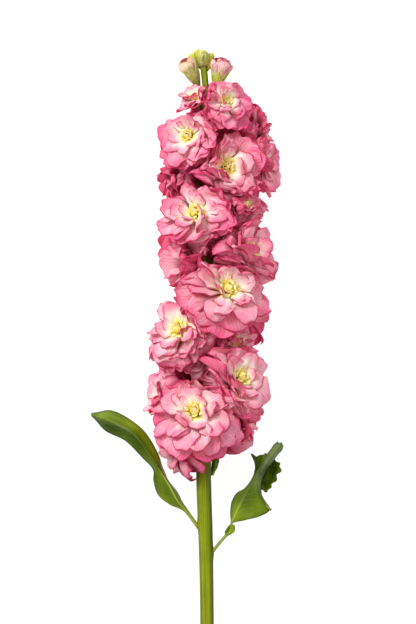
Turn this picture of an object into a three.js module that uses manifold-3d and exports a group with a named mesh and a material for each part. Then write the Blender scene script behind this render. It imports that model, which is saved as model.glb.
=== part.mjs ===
// Cut stem of double stock, lying on its back: a green stem with two long leaves and a spike of
// pink double florets under a tip of unopened buds. Millimetres, +Z up, +Y towards the tip.
import * as THREE from 'three';
import Module from 'manifold-3d';

const wasm = await Module();
wasm.setup();

// The plant is built round its own stem axis, with y measured from the cut end, and then laid down.
const AXIS_HEIGHT = 28.5;
const AXIS_SIDE = 11.37;
const CUT_END_BACK = 197.54;

// Stem: centreline as [y, x, z] and radius as [y, radius].
const STEM_SIDES = 9;
const STEM_STEPS = 11;
const STEM_LENGTH = 386;
const STEM_LINE = [
  [0, 0, 0], [60, -0.1, 0], [100, -0.8, 0], [140, -2.1, 0], [185, -1.6, 0],
  [245, 0.6, 0], [305, 1.6, 0], [357, 0.4, 0], [386, -2.2, 0],
];
const STEM_RADIUS = [[0, 4.2], [60, 4.1], [140, 4.5], [200, 4], [300, 2.8], [357, 2], [386, 2]];

// Nothing of a floret comes nearer to the stem's axis than this, as [y, radius].
const CLEAR_OF_STEM = [[0, 11], [300, 11], [345, 9], [372, 8], [400, 8]];

// Florets: height of the face up the stem, turn about it from the front, reach of the face from
// the axis, rise of the facing direction towards the tip, radius, and which lies over which.
const FLORETS = [
  { name: 'floret_01', height: 180, turn: -12, reach: 29, rise: 24, radius: 25, layer: 9 },
  { name: 'floret_02', height: 199, turn: 44, reach: 33, rise: 14, radius: 24, layer: 8 },
  { name: 'floret_03', height: 228, turn: -38, reach: 30, rise: 22, radius: 25, layer: 6 },
  { name: 'floret_04', height: 252, turn: 26, reach: 29, rise: 26, radius: 26, layer: 8 },
  { name: 'floret_05', height: 297, turn: -21, reach: 27, rise: 20, radius: 22.5, layer: 7 },
  { name: 'floret_06', height: 301, turn: 48, reach: 29, rise: 12, radius: 18.5, layer: 4 },
  { name: 'floret_07', height: 324, turn: 22, reach: 29, rise: 12, radius: 22, layer: 6 },
  { name: 'floret_08', height: 342, turn: -28, reach: 27, rise: 12, radius: 19.5, layer: 7 },
  { name: 'floret_09', height: 362, turn: 26, reach: 27, rise: 16, radius: 16, layer: 8 },
  { name: 'floret_10', height: 364, turn: -56, reach: 13, rise: 28, radius: 11, layer: 9 },
  { name: 'floret_11', height: 326, turn: 70, reach: 37, rise: 8, radius: 18, layer: 5 },
  { name: 'floret_12', height: 344, turn: 92, reach: 32, rise: 10, radius: 16, layer: 3 },
  { name: 'floret_13', height: 318, turn: -92, reach: 24, rise: 8, radius: 19, layer: 3 },
  { name: 'floret_14', height: 266, turn: -42, reach: 24, rise: 0, radius: 23, layer: 2 },
  { name: 'floret_15', height: 273, turn: 52, reach: 33, rise: 12, radius: 24, layer: 5 },
  { name: 'floret_16', height: 218, turn: 55, reach: 24, rise: 6, radius: 19, layer: 2 },
  { name: 'floret_17', height: 186, turn: -82, reach: 29, rise: 4, radius: 18, layer: 5 },
  { name: 'floret_18', height: 174, turn: 90, reach: 27, rise: 4, radius: 18, layer: 3 },
  { name: 'floret_19', height: 153, turn: -64, reach: 21, rise: -14, radius: 16.5, layer: 1 },
  { name: 'floret_20', height: 176, turn: 164, reach: 26.5, rise: 4, radius: 19, layer: 4 },
  { name: 'floret_21', height: 214, turn: -148, reach: 26.5, rise: 8, radius: 20, layer: 2 },
  { name: 'floret_22', height: 240, turn: 152, reach: 26.5, rise: 8, radius: 20, layer: 5 },
  { name: 'floret_23', height: 281, turn: -158, reach: 26.5, rise: 8, radius: 21, layer: 4 },
  { name: 'floret_24', height: 309, turn: 150, reach: 26.5, rise: 8, radius: 19, layer: 3 },
  { name: 'floret_25', height: 346, turn: -170, reach: 26.2, rise: 10, radius: 18, layer: 5 },
  { name: 'floret_26', height: 282, turn: 13, reach: 18, rise: 6, radius: 15.4, layer: 0 },
  { name: 'floret_27', height: 211, turn: 4, reach: 19, rise: 6, radius: 15, layer: 0 },
];

// Shares of a floret's radius: how deep its foot lies behind its face, and how far back along
// that depth the middle of its petals is.
const FACE_DEPTH = 0.58;
const MIDDLE_BACK = 0.3;

// Whorls of a floret from the outside in. Angles are measured from the floret's own axis in
// degrees, lengths and half widths are shares of its radius, and stack is how far the whorl
// stays inside the outer one where a neighbour presses on both. Each row of a petal above its
// root is given as its share of the length and its number of points.
const LONG_ROWS = [[0.34, 3], [0.68, 4], [1, 4]];
const SHORT_ROWS = [[0.45, 3], [1, 3]];
const WHORLS = [
  { count: 5, length: 1.38, half: 0.6, tip: 112, curl: 20, root: 0.05, stack: 0, rows: LONG_ROWS },
  { count: 5, length: 1.06, half: 0.46, tip: 84, curl: 22, root: 0.17, stack: 1.8, rows: SHORT_ROWS },
  { count: 3, length: 0.76, half: 0.4, tip: 58, curl: 20, root: 0.29, stack: 3.6, rows: SHORT_ROWS },
];
const BACK_WHORLS = [
  { count: 5, length: 1.38, half: 0.6, tip: 110, curl: 16, root: 0.05, stack: 0, rows: SHORT_ROWS },
  { count: 4, length: 1.02, half: 0.5, tip: 78, curl: 16, root: 0.17, stack: 1.8, rows: SHORT_ROWS },
  { count: 3, length: 0.7, half: 0.38, tip: 52, curl: 10, root: 0.29, stack: 3.6, rows: SHORT_ROWS },
];
const YOUNG_WHORLS = [
  { count: 5, length: 1.05, half: 0.46, tip: 80, curl: 14, root: 0.12, stack: 0, rows: SHORT_ROWS },
];

// The whorls in full are for a big floret that faces the viewer within this turn. A floret under
// the young radius has only begun to open.
const FULL_TURN = 50;
const FULL_RADIUS = 18;
const YOUNG_RADIUS = 15.5;
const PETAL_THICKNESS = 0.8;

// A petal's root, its narrow claw and the limb that the claw widens into. Shares are of the
// floret's radius for the root, of the petal's half width for the claw, the cup and the ruffle,
// and of its length for the rest.
const ROOT_RADIUS = 0.1;
const ROOT_RING = 0.12;
const CLAW_WIDTH = 0.09;
const WIDEST_AT = 0.72;
const WIDENING_POWER = 1.2;
const TIP_NARROWING = 0.16;
const TIP_NARROWS_FROM = 0.7;
const TIP_ROUNDING = 0.2;
const TIP_ROUNDING_POWER = 2.4;
const THROAT_ANGLE = 24;
const BEND_SHARE = 0.42;
const PETAL_ROLL = 10;
const PETAL_CUP = 0.16;
const RUFFLE = 0.04;
const RUFFLE_AT_MIDLINE = 0.3;
const RUFFLE_WAVES = 1.6;

// Turn from one whorl to the next and from one floret to the next, and how much one petal may
// differ from another: degrees for the angles, shares for the sizes.
const GOLDEN_TURN = 137.5;
const FLORET_TURN = 47;
const SPREAD_JITTER = 5;
const TIP_JITTER = 3;
const CURL_JITTER = 8;
const LENGTH_JITTER = 0.07;
const WIDTH_JITTER = 0.08;
const CUP_JITTER = 0.6;
const WAVES_JITTER = 0.5;

// Where two florets meet, both are pressed against a leaning plane between them.
const PRESS_SOFTNESS = 1.3;
const PRESS_CLEARANCE = 0.2;
const GROUND_SOFTNESS = 0.3;
const GROUND_CLEARANCE = 0.2;
const PRESS_LEAN = 0.55;
const PRESS_SLIDE = 0.35;
const IMBRICATION = 1.2;
const FLORET_REACH_OUT = 1.3;
const PRESS_PASSES = 12;

// Block of the surface underneath, which cuts the florets that carry the stem flat.
const GROUND_WIDTH = 400;
const GROUND_LENGTH = 800;
const GROUND_DEPTH = 40;

// Core that a floret's petals grow from, and the yellow tuft that stands on it.
const TOUCH_GAP = 0.3;
const CORE_SIDES = 3;
const CORE_HEIGHT = 0.34;
const CORE_RADIUS = 0.09;
const TUFT_POINTS = 8;
const TUFT_FOOT = 0.1;
const TUFT_SPREAD = 0.2;
const TUFT_CLEARANCE = 1;
const TUFT_BASE = 0.85;
const TUFT_RIM = 0.92;
const TUFT_HEART = 0.4;
const TUFT_HOLLOW = 0.06;
const TUFT_NOTCH = 0.35;

// Stalk and calyx under each floret. The calyx is a share of the floret's radius across, and the
// shoulder of the stalk and the neck of the calyx lie behind the foot by a share of its depth.
const STALK_SIDES = 4;
const STALK_RADIUS = 1;
const STALK_DROP = 11;
const STALK_SLOPE = 1.2;
const STALK_SAG = 1.5;
const STALK_BEND_AT = 0.62;
const SHOULDER_BACK = 0.62;
const NECK_BACK = 0.25;
const CALYX_RADIUS = 0.13;
const CALYX_MOUTH = 0.9;

// A blade is thin, and thickens towards its stalk over the first share of its length.
const LEAF_THICKNESS = 0.8;
const LEAF_STALK_THICKNESS = 1.5;
const LEAF_STALK_SHARE = 0.22;

// Leaves as rows of points from the left margin over the midrib to the right margin.
const LEFT_LEAF = [
  [[-7.1, 109.4, -0.3], [-6.9, 110.2, 0.4], [-6.7, 111, -0.3]],
  [[-13.6, 117.2, -0.2], [-12.9, 118.4, 0.8], [-11.9, 119.2, -0.4]],
  [[-22, 121.4, -1], [-17.4, 123.6, 1.6], [-15.6, 124.8, -1.8]],
  [[-30, 128, -2], [-22.2, 132.4, 2.6], [-20.3, 132.6, -3.4]],
  [[-32, 136, 0], [-26, 138.6, 3.6], [-24.4, 138.2, -3]],
  [[-32.4, 142.4, 2.4], [-29, 143.4, 5], [-26.2, 143.6, -0.6]],
  [[-38.2, 149.8, 5], [-34, 151.2, 7], [-29.8, 153, 2.4]],
  [[-48.8, 159.9, 6], [-44, 164.4, 8], [-39.6, 168.4, 3]],
  [[-60.6, 165.9, 0.6], [-58.2, 172.2, 2.6], [-56.2, 177.4, -3.6]],
  [[-69.6, 174, -9.5], [-69.8, 175.2, -9], [-69.8, 176.4, -10.5]],
];
const RIGHT_LEAF = [
  [[3.9, 94, -0.3], [4.3, 93, 0.5], [4.8, 92, 0.1], [5.2, 91.4, -0.3]],
  [[9.5, 102.6, 0], [10.2, 102, 0.8], [11, 101.4, 0.5], [11.6, 101, 0]],
  [[11.2, 107, 1.4], [13.8, 105.8, 1.2], [15.4, 105, 0.8], [16.8, 104.8, 0.2]],
  [[14.4, 110.4, 0.8], [15.6, 109.8, 1.6], [16.6, 109.8, 1.2], [17.6, 110, 0.6]],
  [[14.6, 119.6, -0.8], [18.8, 116.6, 2.2], [28.6, 113, 1.2], [36, 117.4, 4.2]],
  [[17.6, 127.8, -1.6], [23, 125.6, 2], [37.6, 118.6, 2.2], [34, 124.6, 7.6]],
  [[24.6, 132.2, 0], [27.4, 134.4, 1.4], [38, 130.6, -3.4], [32.4, 133, 9]],
  [[28.6, 141, 2.6], [30, 141.4, 0.8], [43.6, 139, -4.4], [32.4, 141.4, 9.2]],
  [[26, 152.6, 4.8], [33.6, 150.2, 0.4], [41.4, 148.4, -2.4], [36, 147.6, 7]],
  [[37.4, 155.2, 0.6], [39, 155.4, 0.6], [42.4, 152.6, 1], [42.6, 151.4, 4.2]],
  [[42.4, 159.6, -1.8], [44, 159.6, -1], [46, 158.8, -1], [47, 158.2, -1.6]],
];
const SMALL_LEAF = [
  [[2.4, 139, -2.6], [3, 139, -2], [3.6, 139, -2.6]],
  [[2.6, 145, -3.6], [4.8, 145, -2.8], [6.6, 144.6, -4.6]],
  [[3.4, 150.6, -4.6], [5.6, 150.6, -4], [7.4, 150.4, -6]],
  [[5, 156.4, -6.2], [5.6, 156.6, -6], [6.2, 156.4, -6.6]],
];

const LEAVES = [
  { name: 'leaf_left', rows: LEFT_LEAF, steps: 13, columns: 5 },
  { name: 'leaf_right', rows: RIGHT_LEAF, steps: 15, columns: 7 },
  { name: 'leaf_small', rows: SMALL_LEAF, steps: 6, columns: 3 },
];

// Buds at the tip: foot, top and greatest radius.
const GREEN_BUDS = [
  { foot: [-2.2, 383, 0], top: [-2.6, 394.6, 1], radius: 3.6 },
  { foot: [-3.4, 384.5, -0.6], top: [-5.2, 395, -1], radius: 2.5 },
  { foot: [-3.2, 383.5, -2.4], top: [-9, 392.4, -6.4], radius: 2.6 },
  { foot: [-1.4, 383.5, -1.8], top: [1.2, 392.6, -3.4], radius: 2.5 },
  { foot: [-0.8, 383, -1], top: [2.2, 391.6, -5], radius: 2.2 },
];
const OPENING_BUDS = [
  { name: 'bud_left', stalk: [-1.4, 364, 0], foot: [-5.4, 373.4, 0.6], waist: [-9, 380.4, 2.2],
    top: [-14.4, 389, 4.4], calyx: 4, petals: 5.2 },
  { name: 'bud_right', stalk: [0, 362, -0.6], foot: [5.2, 371.6, -1.6], waist: [7.2, 379.4, -1.2],
    top: [9.6, 390.2, 0.6], calyx: 4, petals: 5.9 },
];
const BUD_STALK_TOP = 1.2;
const GREEN_BUD_SIDES = 6;
const OPENING_BUD_SIDES = 8;

// Outlines of the buds, as [share of the way up, share of the greatest radius].
const GREEN_BUD_OUTLINE = [[0, 0.35], [0.28, 0.9], [0.62, 1], [0.9, 0.6], [1, 0.2]];
const CALYX_OUTLINE = [[0, 0.3], [0.35, 0.78], [1, 1]];
const FURLED_OUTLINE = [[0, 0.66], [0.3, 0.96], [0.6, 1], [0.86, 0.72], [1, 0.3]];

const GREEN = new THREE.MeshStandardMaterial({ color: 0x8c9a3c, roughness: 0.55, metalness: 0 });
const LEAF_GREEN = new THREE.MeshStandardMaterial({ color: 0x5f7028, roughness: 0.5, metalness: 0 });
const PINK = new THREE.MeshStandardMaterial({ color: 0xe0708c, roughness: 0.6, metalness: 0 });
const PEACH = new THREE.MeshStandardMaterial({ color: 0xe0a090, roughness: 0.6, metalness: 0 });
const YELLOW = new THREE.MeshStandardMaterial({ color: 0xe8d56b, roughness: 0.6, metalness: 0 });

const DEGREE = Math.PI / 180;
const vec = (x, y, z) => new THREE.Vector3(x, y, z);
const smoothstep = (low, high, x) => {
  const t = Math.min(1, Math.max(0, (x - low) / (high - low)));
  return t * t * (3 - 2 * t);
};

// Repeatable draw between 0 and 1 for a seed and a running number.
function draw(seed, k) {
  const x = Math.sin(seed * 12.9898 + k * 78.233) * 43758.5453;
  return x - Math.floor(x);
}
const sway = (seed, k) => 2 * draw(seed, k) - 1;

// Smooth value of a table of [x, value, value...] rows at x: cubic pieces through every row.
function along(table, x, column = 1) {
  const last = table.length - 1;
  let i = 0;
  while (i < last - 1 && x > table[i + 1][0]) i += 1;
  const row = (k) => table[Math.min(last, Math.max(0, k))];
  const slope = (k) => {
    const [a, b] = [row(k - 1), row(k + 1)];
    return (b[column] - a[column]) / (b[0] - a[0]);
  };
  const [a, b] = [row(i), row(i + 1)];
  const span = b[0] - a[0];
  const t = Math.min(1, Math.max(0, (x - a[0]) / span));
  const [t2, t3] = [t * t, t * t * t];
  return (2 * t3 - 3 * t2 + 1) * a[column] + (t3 - 2 * t2 + t) * span * slope(i)
    + (3 * t2 - 2 * t3) * b[column] + (t3 - t2) * span * slope(i + 1);
}
const stemAt = (y) => vec(along(STEM_LINE, y, 1), y, along(STEM_LINE, y, 2));

// Triangles between two rows of points that both run from the left margin to the right one.
function strip(startA, countA, startB, countB) {
  const triangles = [];
  let [a, b] = [0, 0];
  while (a < countA - 1 || b < countB - 1) {
    const nextA = a < countA - 1 ? (a + 1) / (countA - 1) : 2;
    const nextB = b < countB - 1 ? (b + 1) / (countB - 1) : 2;
    if (nextA <= nextB) {
      triangles.push([startA + a, startA + a + 1, startB + b]);
      a += 1;
    } else {
      triangles.push([startA + a, startB + b + 1, startB + b]);
      b += 1;
    }
  }
  return triangles;
}

// Closed sheet round a middle surface: the same triangles on both faces, half the thickness out
// along the surface's normals, and a wall along the margin, which runs once round the surface.
function sheet(middle, faces, margin, thickness) {
  const normals = middle.map(() => vec(0, 0, 0));
  for (const [a, b, c] of faces) {
    const normal = middle[b].clone().sub(middle[a]).cross(middle[c].clone().sub(middle[a]));
    for (const k of [a, b, c]) normals[k].add(normal);
  }
  const total = middle.length;
  const points = [];
  for (const side of [0.5, -0.5]) {
    middle.forEach((point, k) => {
      points.push(point.clone().addScaledVector(normals[k].normalize(), side * thickness[k]));
    });
  }
  const triangles = [];
  for (const [a, b, c] of faces) triangles.push([a, b, c], [a + total, c + total, b + total]);
  margin.forEach((a, i) => {
    const b = margin[(i + 1) % margin.length];
    triangles.push([b, a, a + total], [b, a + total, b + total]);
  });
  return { points, triangles };
}

// Closed tube through rings of equal point count, each ring running the same way round.
function ringSolid(rings) {
  const sides = rings[0].length;
  const points = rings.flat();
  const triangles = [];
  for (let i = 0; i < rings.length - 1; i += 1) {
    for (let j = 0; j < sides; j += 1) {
      const [a, b] = [i * sides + j, i * sides + (j + 1) % sides];
      triangles.push([a, b, b + sides], [a, b + sides, a + sides]);
    }
  }
  const top = (rings.length - 1) * sides;
  for (let j = 1; j < sides - 1; j += 1) {
    triangles.push([0, j + 1, j], [top, top + j, top + j + 1]);
  }
  return { points, triangles };
}

// Ring of points round a centre, square to an axis.
function ring(centre, axis, radius, sides, phase = 0) {
  const across = Math.abs(axis.y) > 0.8 ? vec(1, 0, 0) : vec(0, 1, 0);
  const first = across.addScaledVector(axis, -across.dot(axis)).normalize();
  const second = axis.clone().cross(first);
  return Array.from({ length: sides }, (_, j) => {
    const angle = 2 * Math.PI * (j + phase) / sides;
    return centre.clone().addScaledVector(first, radius * Math.cos(angle))
      .addScaledVector(second, radius * Math.sin(angle));
  });
}

function solidOf({ points, triangles }) {
  const mesh = new wasm.Mesh({
    numProp: 3,
    vertProperties: new Float32Array(points.flatMap((p) => [p.x, p.y, p.z])),
    triVerts: new Uint32Array(triangles.flat()),
  });
  return new wasm.Manifold(mesh);
}

const joined = (solids) => solids.reduce((sum, solid) => sum.add(solid));

function geometryOf(solid) {
  const mesh = solid.getMesh();
  const geometry = new THREE.BufferGeometry();
  geometry.setAttribute('position', new THREE.BufferAttribute(mesh.vertProperties, mesh.numProp));
  geometry.setIndex(new THREE.BufferAttribute(mesh.triVerts, 1));
  geometry.computeVertexNormals();
  return geometry;
}

function ground() {
  const slab = new THREE.BoxGeometry(GROUND_WIDTH, GROUND_LENGTH, GROUND_DEPTH);
  slab.translate(0, STEM_LENGTH / 2, -AXIS_HEIGHT - GROUND_DEPTH / 2);
  const corners = slab.getAttribute('position');
  const points = [];
  const merged = new Map();
  const indexOf = [];
  for (let i = 0; i < corners.count; i += 1) {
    const point = vec(corners.getX(i), corners.getY(i), corners.getZ(i));
    const key = point.toArray().join(' ');
    if (!merged.has(key)) {
      merged.set(key, points.length);
      points.push(point);
    }
    indexOf.push(merged.get(key));
  }
  const index = Array.from(slab.getIndex().array, (k) => indexOf[k]);
  const triangles = [];
  for (let i = 0; i < index.length; i += 3) triangles.push(index.slice(i, i + 3));
  return solidOf({ points, triangles });
}

// Floret frame: facing direction, two directions across it, the foot of its corolla on the calyx
// and the middle of its mass of petals.
function settle(floret, index) {
  const { height, turn, reach, rise, radius } = floret;
  const out = vec(Math.sin(turn * DEGREE), 0, Math.cos(turn * DEGREE));
  const facing = out.clone().multiplyScalar(Math.cos(rise * DEGREE));
  facing.y = Math.sin(rise * DEGREE);
  const across = vec(0, 1, 0).cross(facing).normalize();
  const up = facing.clone().cross(across);
  const face = stemAt(height).addScaledVector(out, reach);
  const depth = FACE_DEPTH * radius;
  const foot = face.clone().addScaledVector(facing, -depth);
  const middle = face.clone().addScaledVector(facing, -MIDDLE_BACK * depth);
  return { ...floret, seed: index + 1, out, facing, across, up, foot, middle, depth };
}

// Plane between two florets that touch, seen from the first one: it leans outwards over the
// floret that lies below.
function pressingPlane(one, other) {
  const between = other.middle.clone().sub(one.middle);
  const distance = between.length();
  if (distance > FLORET_REACH_OUT * (one.radius + other.radius)) return null;
  const share = (distance ** 2 + one.radius ** 2 - other.radius ** 2) / (2 * distance ** 2);
  const point = one.middle.clone().addScaledVector(between, share);
  const outward = point.clone().sub(stemAt(point.y)).setY(0).normalize();
  const over = Math.sign(one.layer - other.layer || one.seed - other.seed);
  const normal = between.normalize().addScaledVector(outward, -over * PRESS_LEAN).normalize();
  const slide = outward.addScaledVector(normal, -outward.dot(normal)).normalize();
  return { point, normal, slide };
}

// Moves a petal's point clear of the stem, of the neighbours' planes and of the ground: softly
// first, so that the petal bends, and then exactly.
function press(floret, point, planes, inset) {
  const axis = stemAt(point.y);
  const radial = point.clone().sub(axis).setY(0);
  const distance = radial.length();
  const clear = along(CLEAR_OF_STEM, point.y);
  const kept = clear + PRESS_SOFTNESS * Math.log(1 + Math.exp((distance - clear) / PRESS_SOFTNESS));
  point.addScaledVector(radial.normalize(), kept - distance);
  for (const { point: base, normal, slide } of planes) {
    const over = point.clone().sub(base).dot(normal) + inset;
    const pressed = -PRESS_SOFTNESS * Math.log(1 + Math.exp(-over / PRESS_SOFTNESS));
    point.addScaledVector(normal, pressed - over);
    point.addScaledVector(slide, PRESS_SLIDE * (over - pressed));
  }
  const low = point.z + AXIS_HEIGHT - GROUND_CLEARANCE;
  point.z += GROUND_SOFTNESS * Math.log(1 + Math.exp(low / GROUND_SOFTNESS)) - low;
  for (let pass = 0; pass < PRESS_PASSES; pass += 1) {
    for (const { point: base, normal } of planes) {
      const over = point.clone().sub(base).dot(normal) + inset;
      if (over > 0) point.addScaledVector(normal, -over);
    }
    clearOfTuft(floret, point);
  }
  return point;
}

// Run out and up along an arc of a given length whose slope turns from one angle to another.
function arc(length, from, to) {
  const turn = to - from;
  if (Math.abs(turn) < 1e-4) return [length * Math.sin(from), length * Math.cos(from)];
  const radius = length / turn;
  return [radius * (Math.cos(from) - Math.cos(to)), radius * (Math.sin(to) - Math.sin(from))];
}

// Point of a petal: u runs from -1 to 1 across it and v from 0 at its root to 1 at its tip. The
// midline is an arc that bends out of the throat and a flatter one over the limb.
function petalPoint(floret, petal, u, v) {
  const length = petal.length * v * (1 - TIP_ROUNDING * Math.abs(u) ** TIP_ROUNDING_POWER);
  const bend = BEND_SHARE * petal.length;
  const throat = THROAT_ANGLE * DEGREE;
  const opened = throat + (petal.tip - throat) * Math.min(1, length / bend);
  let [run, rise] = arc(Math.min(length, bend), throat, opened);
  let slope = opened;
  if (length > bend) {
    slope = opened + petal.curl * (length - bend) / (petal.length - bend);
    const [limbRun, limbRise] = arc(length - bend, opened, slope);
    run += limbRun;
    rise += limbRise;
  }
  const widening = CLAW_WIDTH + (1 - CLAW_WIDTH) * Math.min(1, v / WIDEST_AT) ** WIDENING_POWER;
  const half = petal.half * widening * (1 - TIP_NARROWING * smoothstep(TIP_NARROWS_FROM, 1, v));
  const side = half * u;
  const growth = RUFFLE_AT_MIDLINE + (1 - RUFFLE_AT_MIDLINE) * u * u;
  const wave = growth * Math.sin(Math.PI * petal.waves * u + petal.phase);
  const lift = RUFFLE * petal.half * v * v * wave - PETAL_CUP * petal.cup * half * u * u;
  const outward = vec(0, 0, 0)
    .addScaledVector(floret.across, Math.cos(petal.azimuth))
    .addScaledVector(floret.up, Math.sin(petal.azimuth));
  const sideways = floret.facing.clone().cross(outward);
  const upper = floret.facing.clone().multiplyScalar(Math.sin(slope))
    .addScaledVector(outward, -Math.cos(slope));
  return floret.foot.clone()
    .addScaledVector(outward, ROOT_RADIUS * floret.radius + run)
    .addScaledVector(floret.facing, petal.root + rise)
    .addScaledVector(sideways, side * Math.cos(PETAL_ROLL * DEGREE))
    .addScaledVector(upper, lift + side * Math.sin(PETAL_ROLL * DEGREE));
}

function petalsOf(floret, whorl, w) {
  return Array.from({ length: whorl.count }, (_, i) => {
    const key = 10 * w + i;
    const turn = 360 * i / whorl.count + GOLDEN_TURN * w + SPREAD_JITTER * sway(floret.seed, key);
    return {
      azimuth: (turn + FLORET_TURN * floret.seed) * DEGREE,
      length: floret.radius * whorl.length * (1 + LENGTH_JITTER * sway(floret.seed, key + 100)),
      half: floret.radius * whorl.half * (1 + WIDTH_JITTER * sway(floret.seed, key + 200)),
      tip: (whorl.tip + TIP_JITTER * sway(floret.seed, key + 300)) * DEGREE,
      curl: (whorl.curl + CURL_JITTER * sway(floret.seed, key + 400)) * DEGREE,
      cup: 1 + CUP_JITTER * sway(floret.seed, key + 500),
      waves: RUFFLE_WAVES + WAVES_JITTER * sway(floret.seed, key + 600),
      phase: 2 * Math.PI * draw(floret.seed, key + 700),
      root: floret.radius * whorl.root,
      inset: PETAL_THICKNESS / 2 + PRESS_CLEARANCE + whorl.stack,
    };
  });
}

// Keeps a petal out of the cone that the floret's yellow tuft fills.
function clearOfTuft(floret, point) {
  const local = point.clone().sub(floret.foot);
  const height = local.dot(floret.facing);
  const radial = local.addScaledVector(floret.facing, -height);
  const distance = radial.length();
  const least = tuftRadius(floret, height) + TUFT_CLEARANCE;
  if (height > CORE_HEIGHT * floret.radius && distance < least) {
    point.addScaledVector(radial.normalize(), least - distance);
  }
  return point;
}

const tuftRadius = (floret, height) => {
  const foot = CORE_HEIGHT * floret.radius;
  const share = Math.min(1, Math.max(0, (height - foot) / (floret.depth - foot)));
  return floret.radius * (TUFT_FOOT + (TUFT_SPREAD - TUFT_FOOT) * share);
};

function core(floret) {
  const at = (height, radius) => ring(
    floret.foot.clone().addScaledVector(floret.facing, height), floret.facing,
    radius * floret.radius, CORE_SIDES);
  const ends = [TOUCH_GAP, CORE_HEIGHT * floret.radius];
  return solidOf(ringSolid(ends.map((height) => at(height, CORE_RADIUS))));
}

// A whorl is one sheet: a small floor with as many corners as petals, and a petal on each side.
function whorlSolid(floret, whorl, w, planes) {
  const petals = petalsOf(floret, whorl, w);
  const ringRadius = ROOT_RING * floret.radius / Math.cos(Math.PI / whorl.count);
  const middle = petals.map((petal) => {
    const corner = petal.azimuth - Math.PI / whorl.count;
    return floret.foot.clone()
      .addScaledVector(floret.facing, petal.root)
      .addScaledVector(floret.across, ringRadius * Math.cos(corner))
      .addScaledVector(floret.up, ringRadius * Math.sin(corner));
  });
  const faces = [];
  for (let k = 1; k < whorl.count - 1; k += 1) faces.push([0, k + 1, k]);
  const margin = [];
  petals.forEach((petal, k) => {
    const corners = [k, (k + 1) % whorl.count];
    let row = corners;
    const left = [];
    const right = [];
    for (const [share, count] of whorl.rows) {
      const next = Array.from({ length: count }, (_, j) => middle.length + j);
      for (let j = 0; j < count; j += 1) {
        const point = petalPoint(floret, petal, 2 * j / (count - 1) - 1, share);
        const inset = petal.inset + IMBRICATION * (j / (count - 1));
        middle.push(press(floret, clearOfTuft(floret, point), planes, inset));
      }
      faces.push(...strip(0, row.length, row.length, count).map(
        (face) => face.map((at) => [...row, ...next][at])));
      left.push(next[0]);
      right.push(next[count - 1]);
      row = next;
    }
    margin.push(corners[0], ...left, ...row.slice(1, -1), ...right.reverse());
  });
  return solidOf(sheet(middle, faces, margin.reverse(), middle.map(() => PETAL_THICKNESS)));
}

function whorlsOf(floret) {
  if (floret.radius < YOUNG_RADIUS) return YOUNG_WHORLS;
  const full = Math.abs(floret.turn) < FULL_TURN && floret.radius > FULL_RADIUS;
  return full ? WHORLS : BACK_WHORLS;
}

function floretSolid(floret, planes, slab) {
  const solids = whorlsOf(floret).map((whorl, w) => whorlSolid(floret, whorl, w, planes));
  return joined([core(floret), ...solids]).subtract(slab);
}

// Tuft of small curled petals at a floret's heart: a cone with a star-shaped rim.
function tuftSolid(floret) {
  const spread = TUFT_SPREAD * floret.radius;
  const foot = CORE_HEIGHT * floret.radius + TOUCH_GAP;
  const at = (height, radius) => ring(
    floret.foot.clone().addScaledVector(floret.facing, height), floret.facing, radius, TUFT_POINTS);
  const rim = at(floret.depth, spread * TUFT_RIM);
  const heart = at(floret.depth - TUFT_HOLLOW * floret.radius, spread * TUFT_HEART);
  rim.forEach((point, j) => {
    if (j % 2) point.lerp(heart[j], TUFT_NOTCH);
  });
  return solidOf(ringSolid([at(foot, TUFT_BASE * TUFT_FOOT * floret.radius), rim, heart]));
}

// Stalk that leaves the stem below its floret and widens into the calyx.
function stalkSolid(floret) {
  const start = stemAt(floret.foot.y - STALK_DROP);
  const behind = (share) => floret.foot.clone().addScaledVector(floret.facing, -share * floret.depth);
  const bend = start.clone().lerp(behind(SHOULDER_BACK), STALK_BEND_AT);
  bend.y -= STALK_SAG;
  const outAndUp = floret.out.clone().add(vec(0, STALK_SLOPE, 0)).normalize();
  const calyx = CALYX_RADIUS * floret.radius;
  const rings = [
    ring(start, outAndUp, STALK_RADIUS, STALK_SIDES),
    ring(bend, outAndUp, STALK_RADIUS, STALK_SIDES),
    ring(behind(NECK_BACK), floret.facing, calyx, STALK_SIDES),
    ring(floret.foot, floret.facing, CALYX_MOUTH * calyx, STALK_SIDES),
  ];
  return solidOf(ringSolid(rings));
}

function stemSolid() {
  const rings = [];
  for (let i = 0; i <= STEM_STEPS; i += 1) {
    const y = STEM_LENGTH * i / STEM_STEPS;
    rings.push(ring(stemAt(y), vec(0, 1, 0), along(STEM_RADIUS, y), STEM_SIDES));
  }
  return solidOf(ringSolid(rings));
}

// Closed egg-like body from a foot to a top, its radius at each share of the way from an outline.
function eggSolid(foot, top, radius, outline, sides) {
  const axis = top.clone().sub(foot);
  const direction = axis.clone().normalize();
  return solidOf(ringSolid(outline.map(([share, width]) => ring(
    foot.clone().addScaledVector(axis, share), direction, radius * width, sides))));
}

// Opening bud: a short stalk with the calyx that it widens into, and the furled petals above it.
function budParts(bud) {
  const [from, foot, waist, top] = [bud.stalk, bud.foot, bud.waist, bud.top].map((p) => vec(...p));
  const up = foot.clone().sub(from).normalize();
  const calyxAxis = waist.clone().sub(foot).normalize();
  const petalAxis = top.clone().sub(waist).normalize();
  const stalk = solidOf(ringSolid([
    ring(from, up, STALK_RADIUS, STALK_SIDES),
    ring(foot.clone().add(up), up, BUD_STALK_TOP, STALK_SIDES),
  ]));
  const calyx = solidOf(ringSolid(CALYX_OUTLINE.map(([share, width]) => ring(
    foot.clone().lerp(waist, share), share < 1 ? calyxAxis : petalAxis,
    bud.calyx * width, OPENING_BUD_SIDES))));
  const seat = waist.clone().addScaledVector(petalAxis, TOUCH_GAP);
  const furled = eggSolid(seat, top, bud.petals, FURLED_OUTLINE, OPENING_BUD_SIDES);
  return { green: stalk.add(calyx), furled };
}

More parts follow.
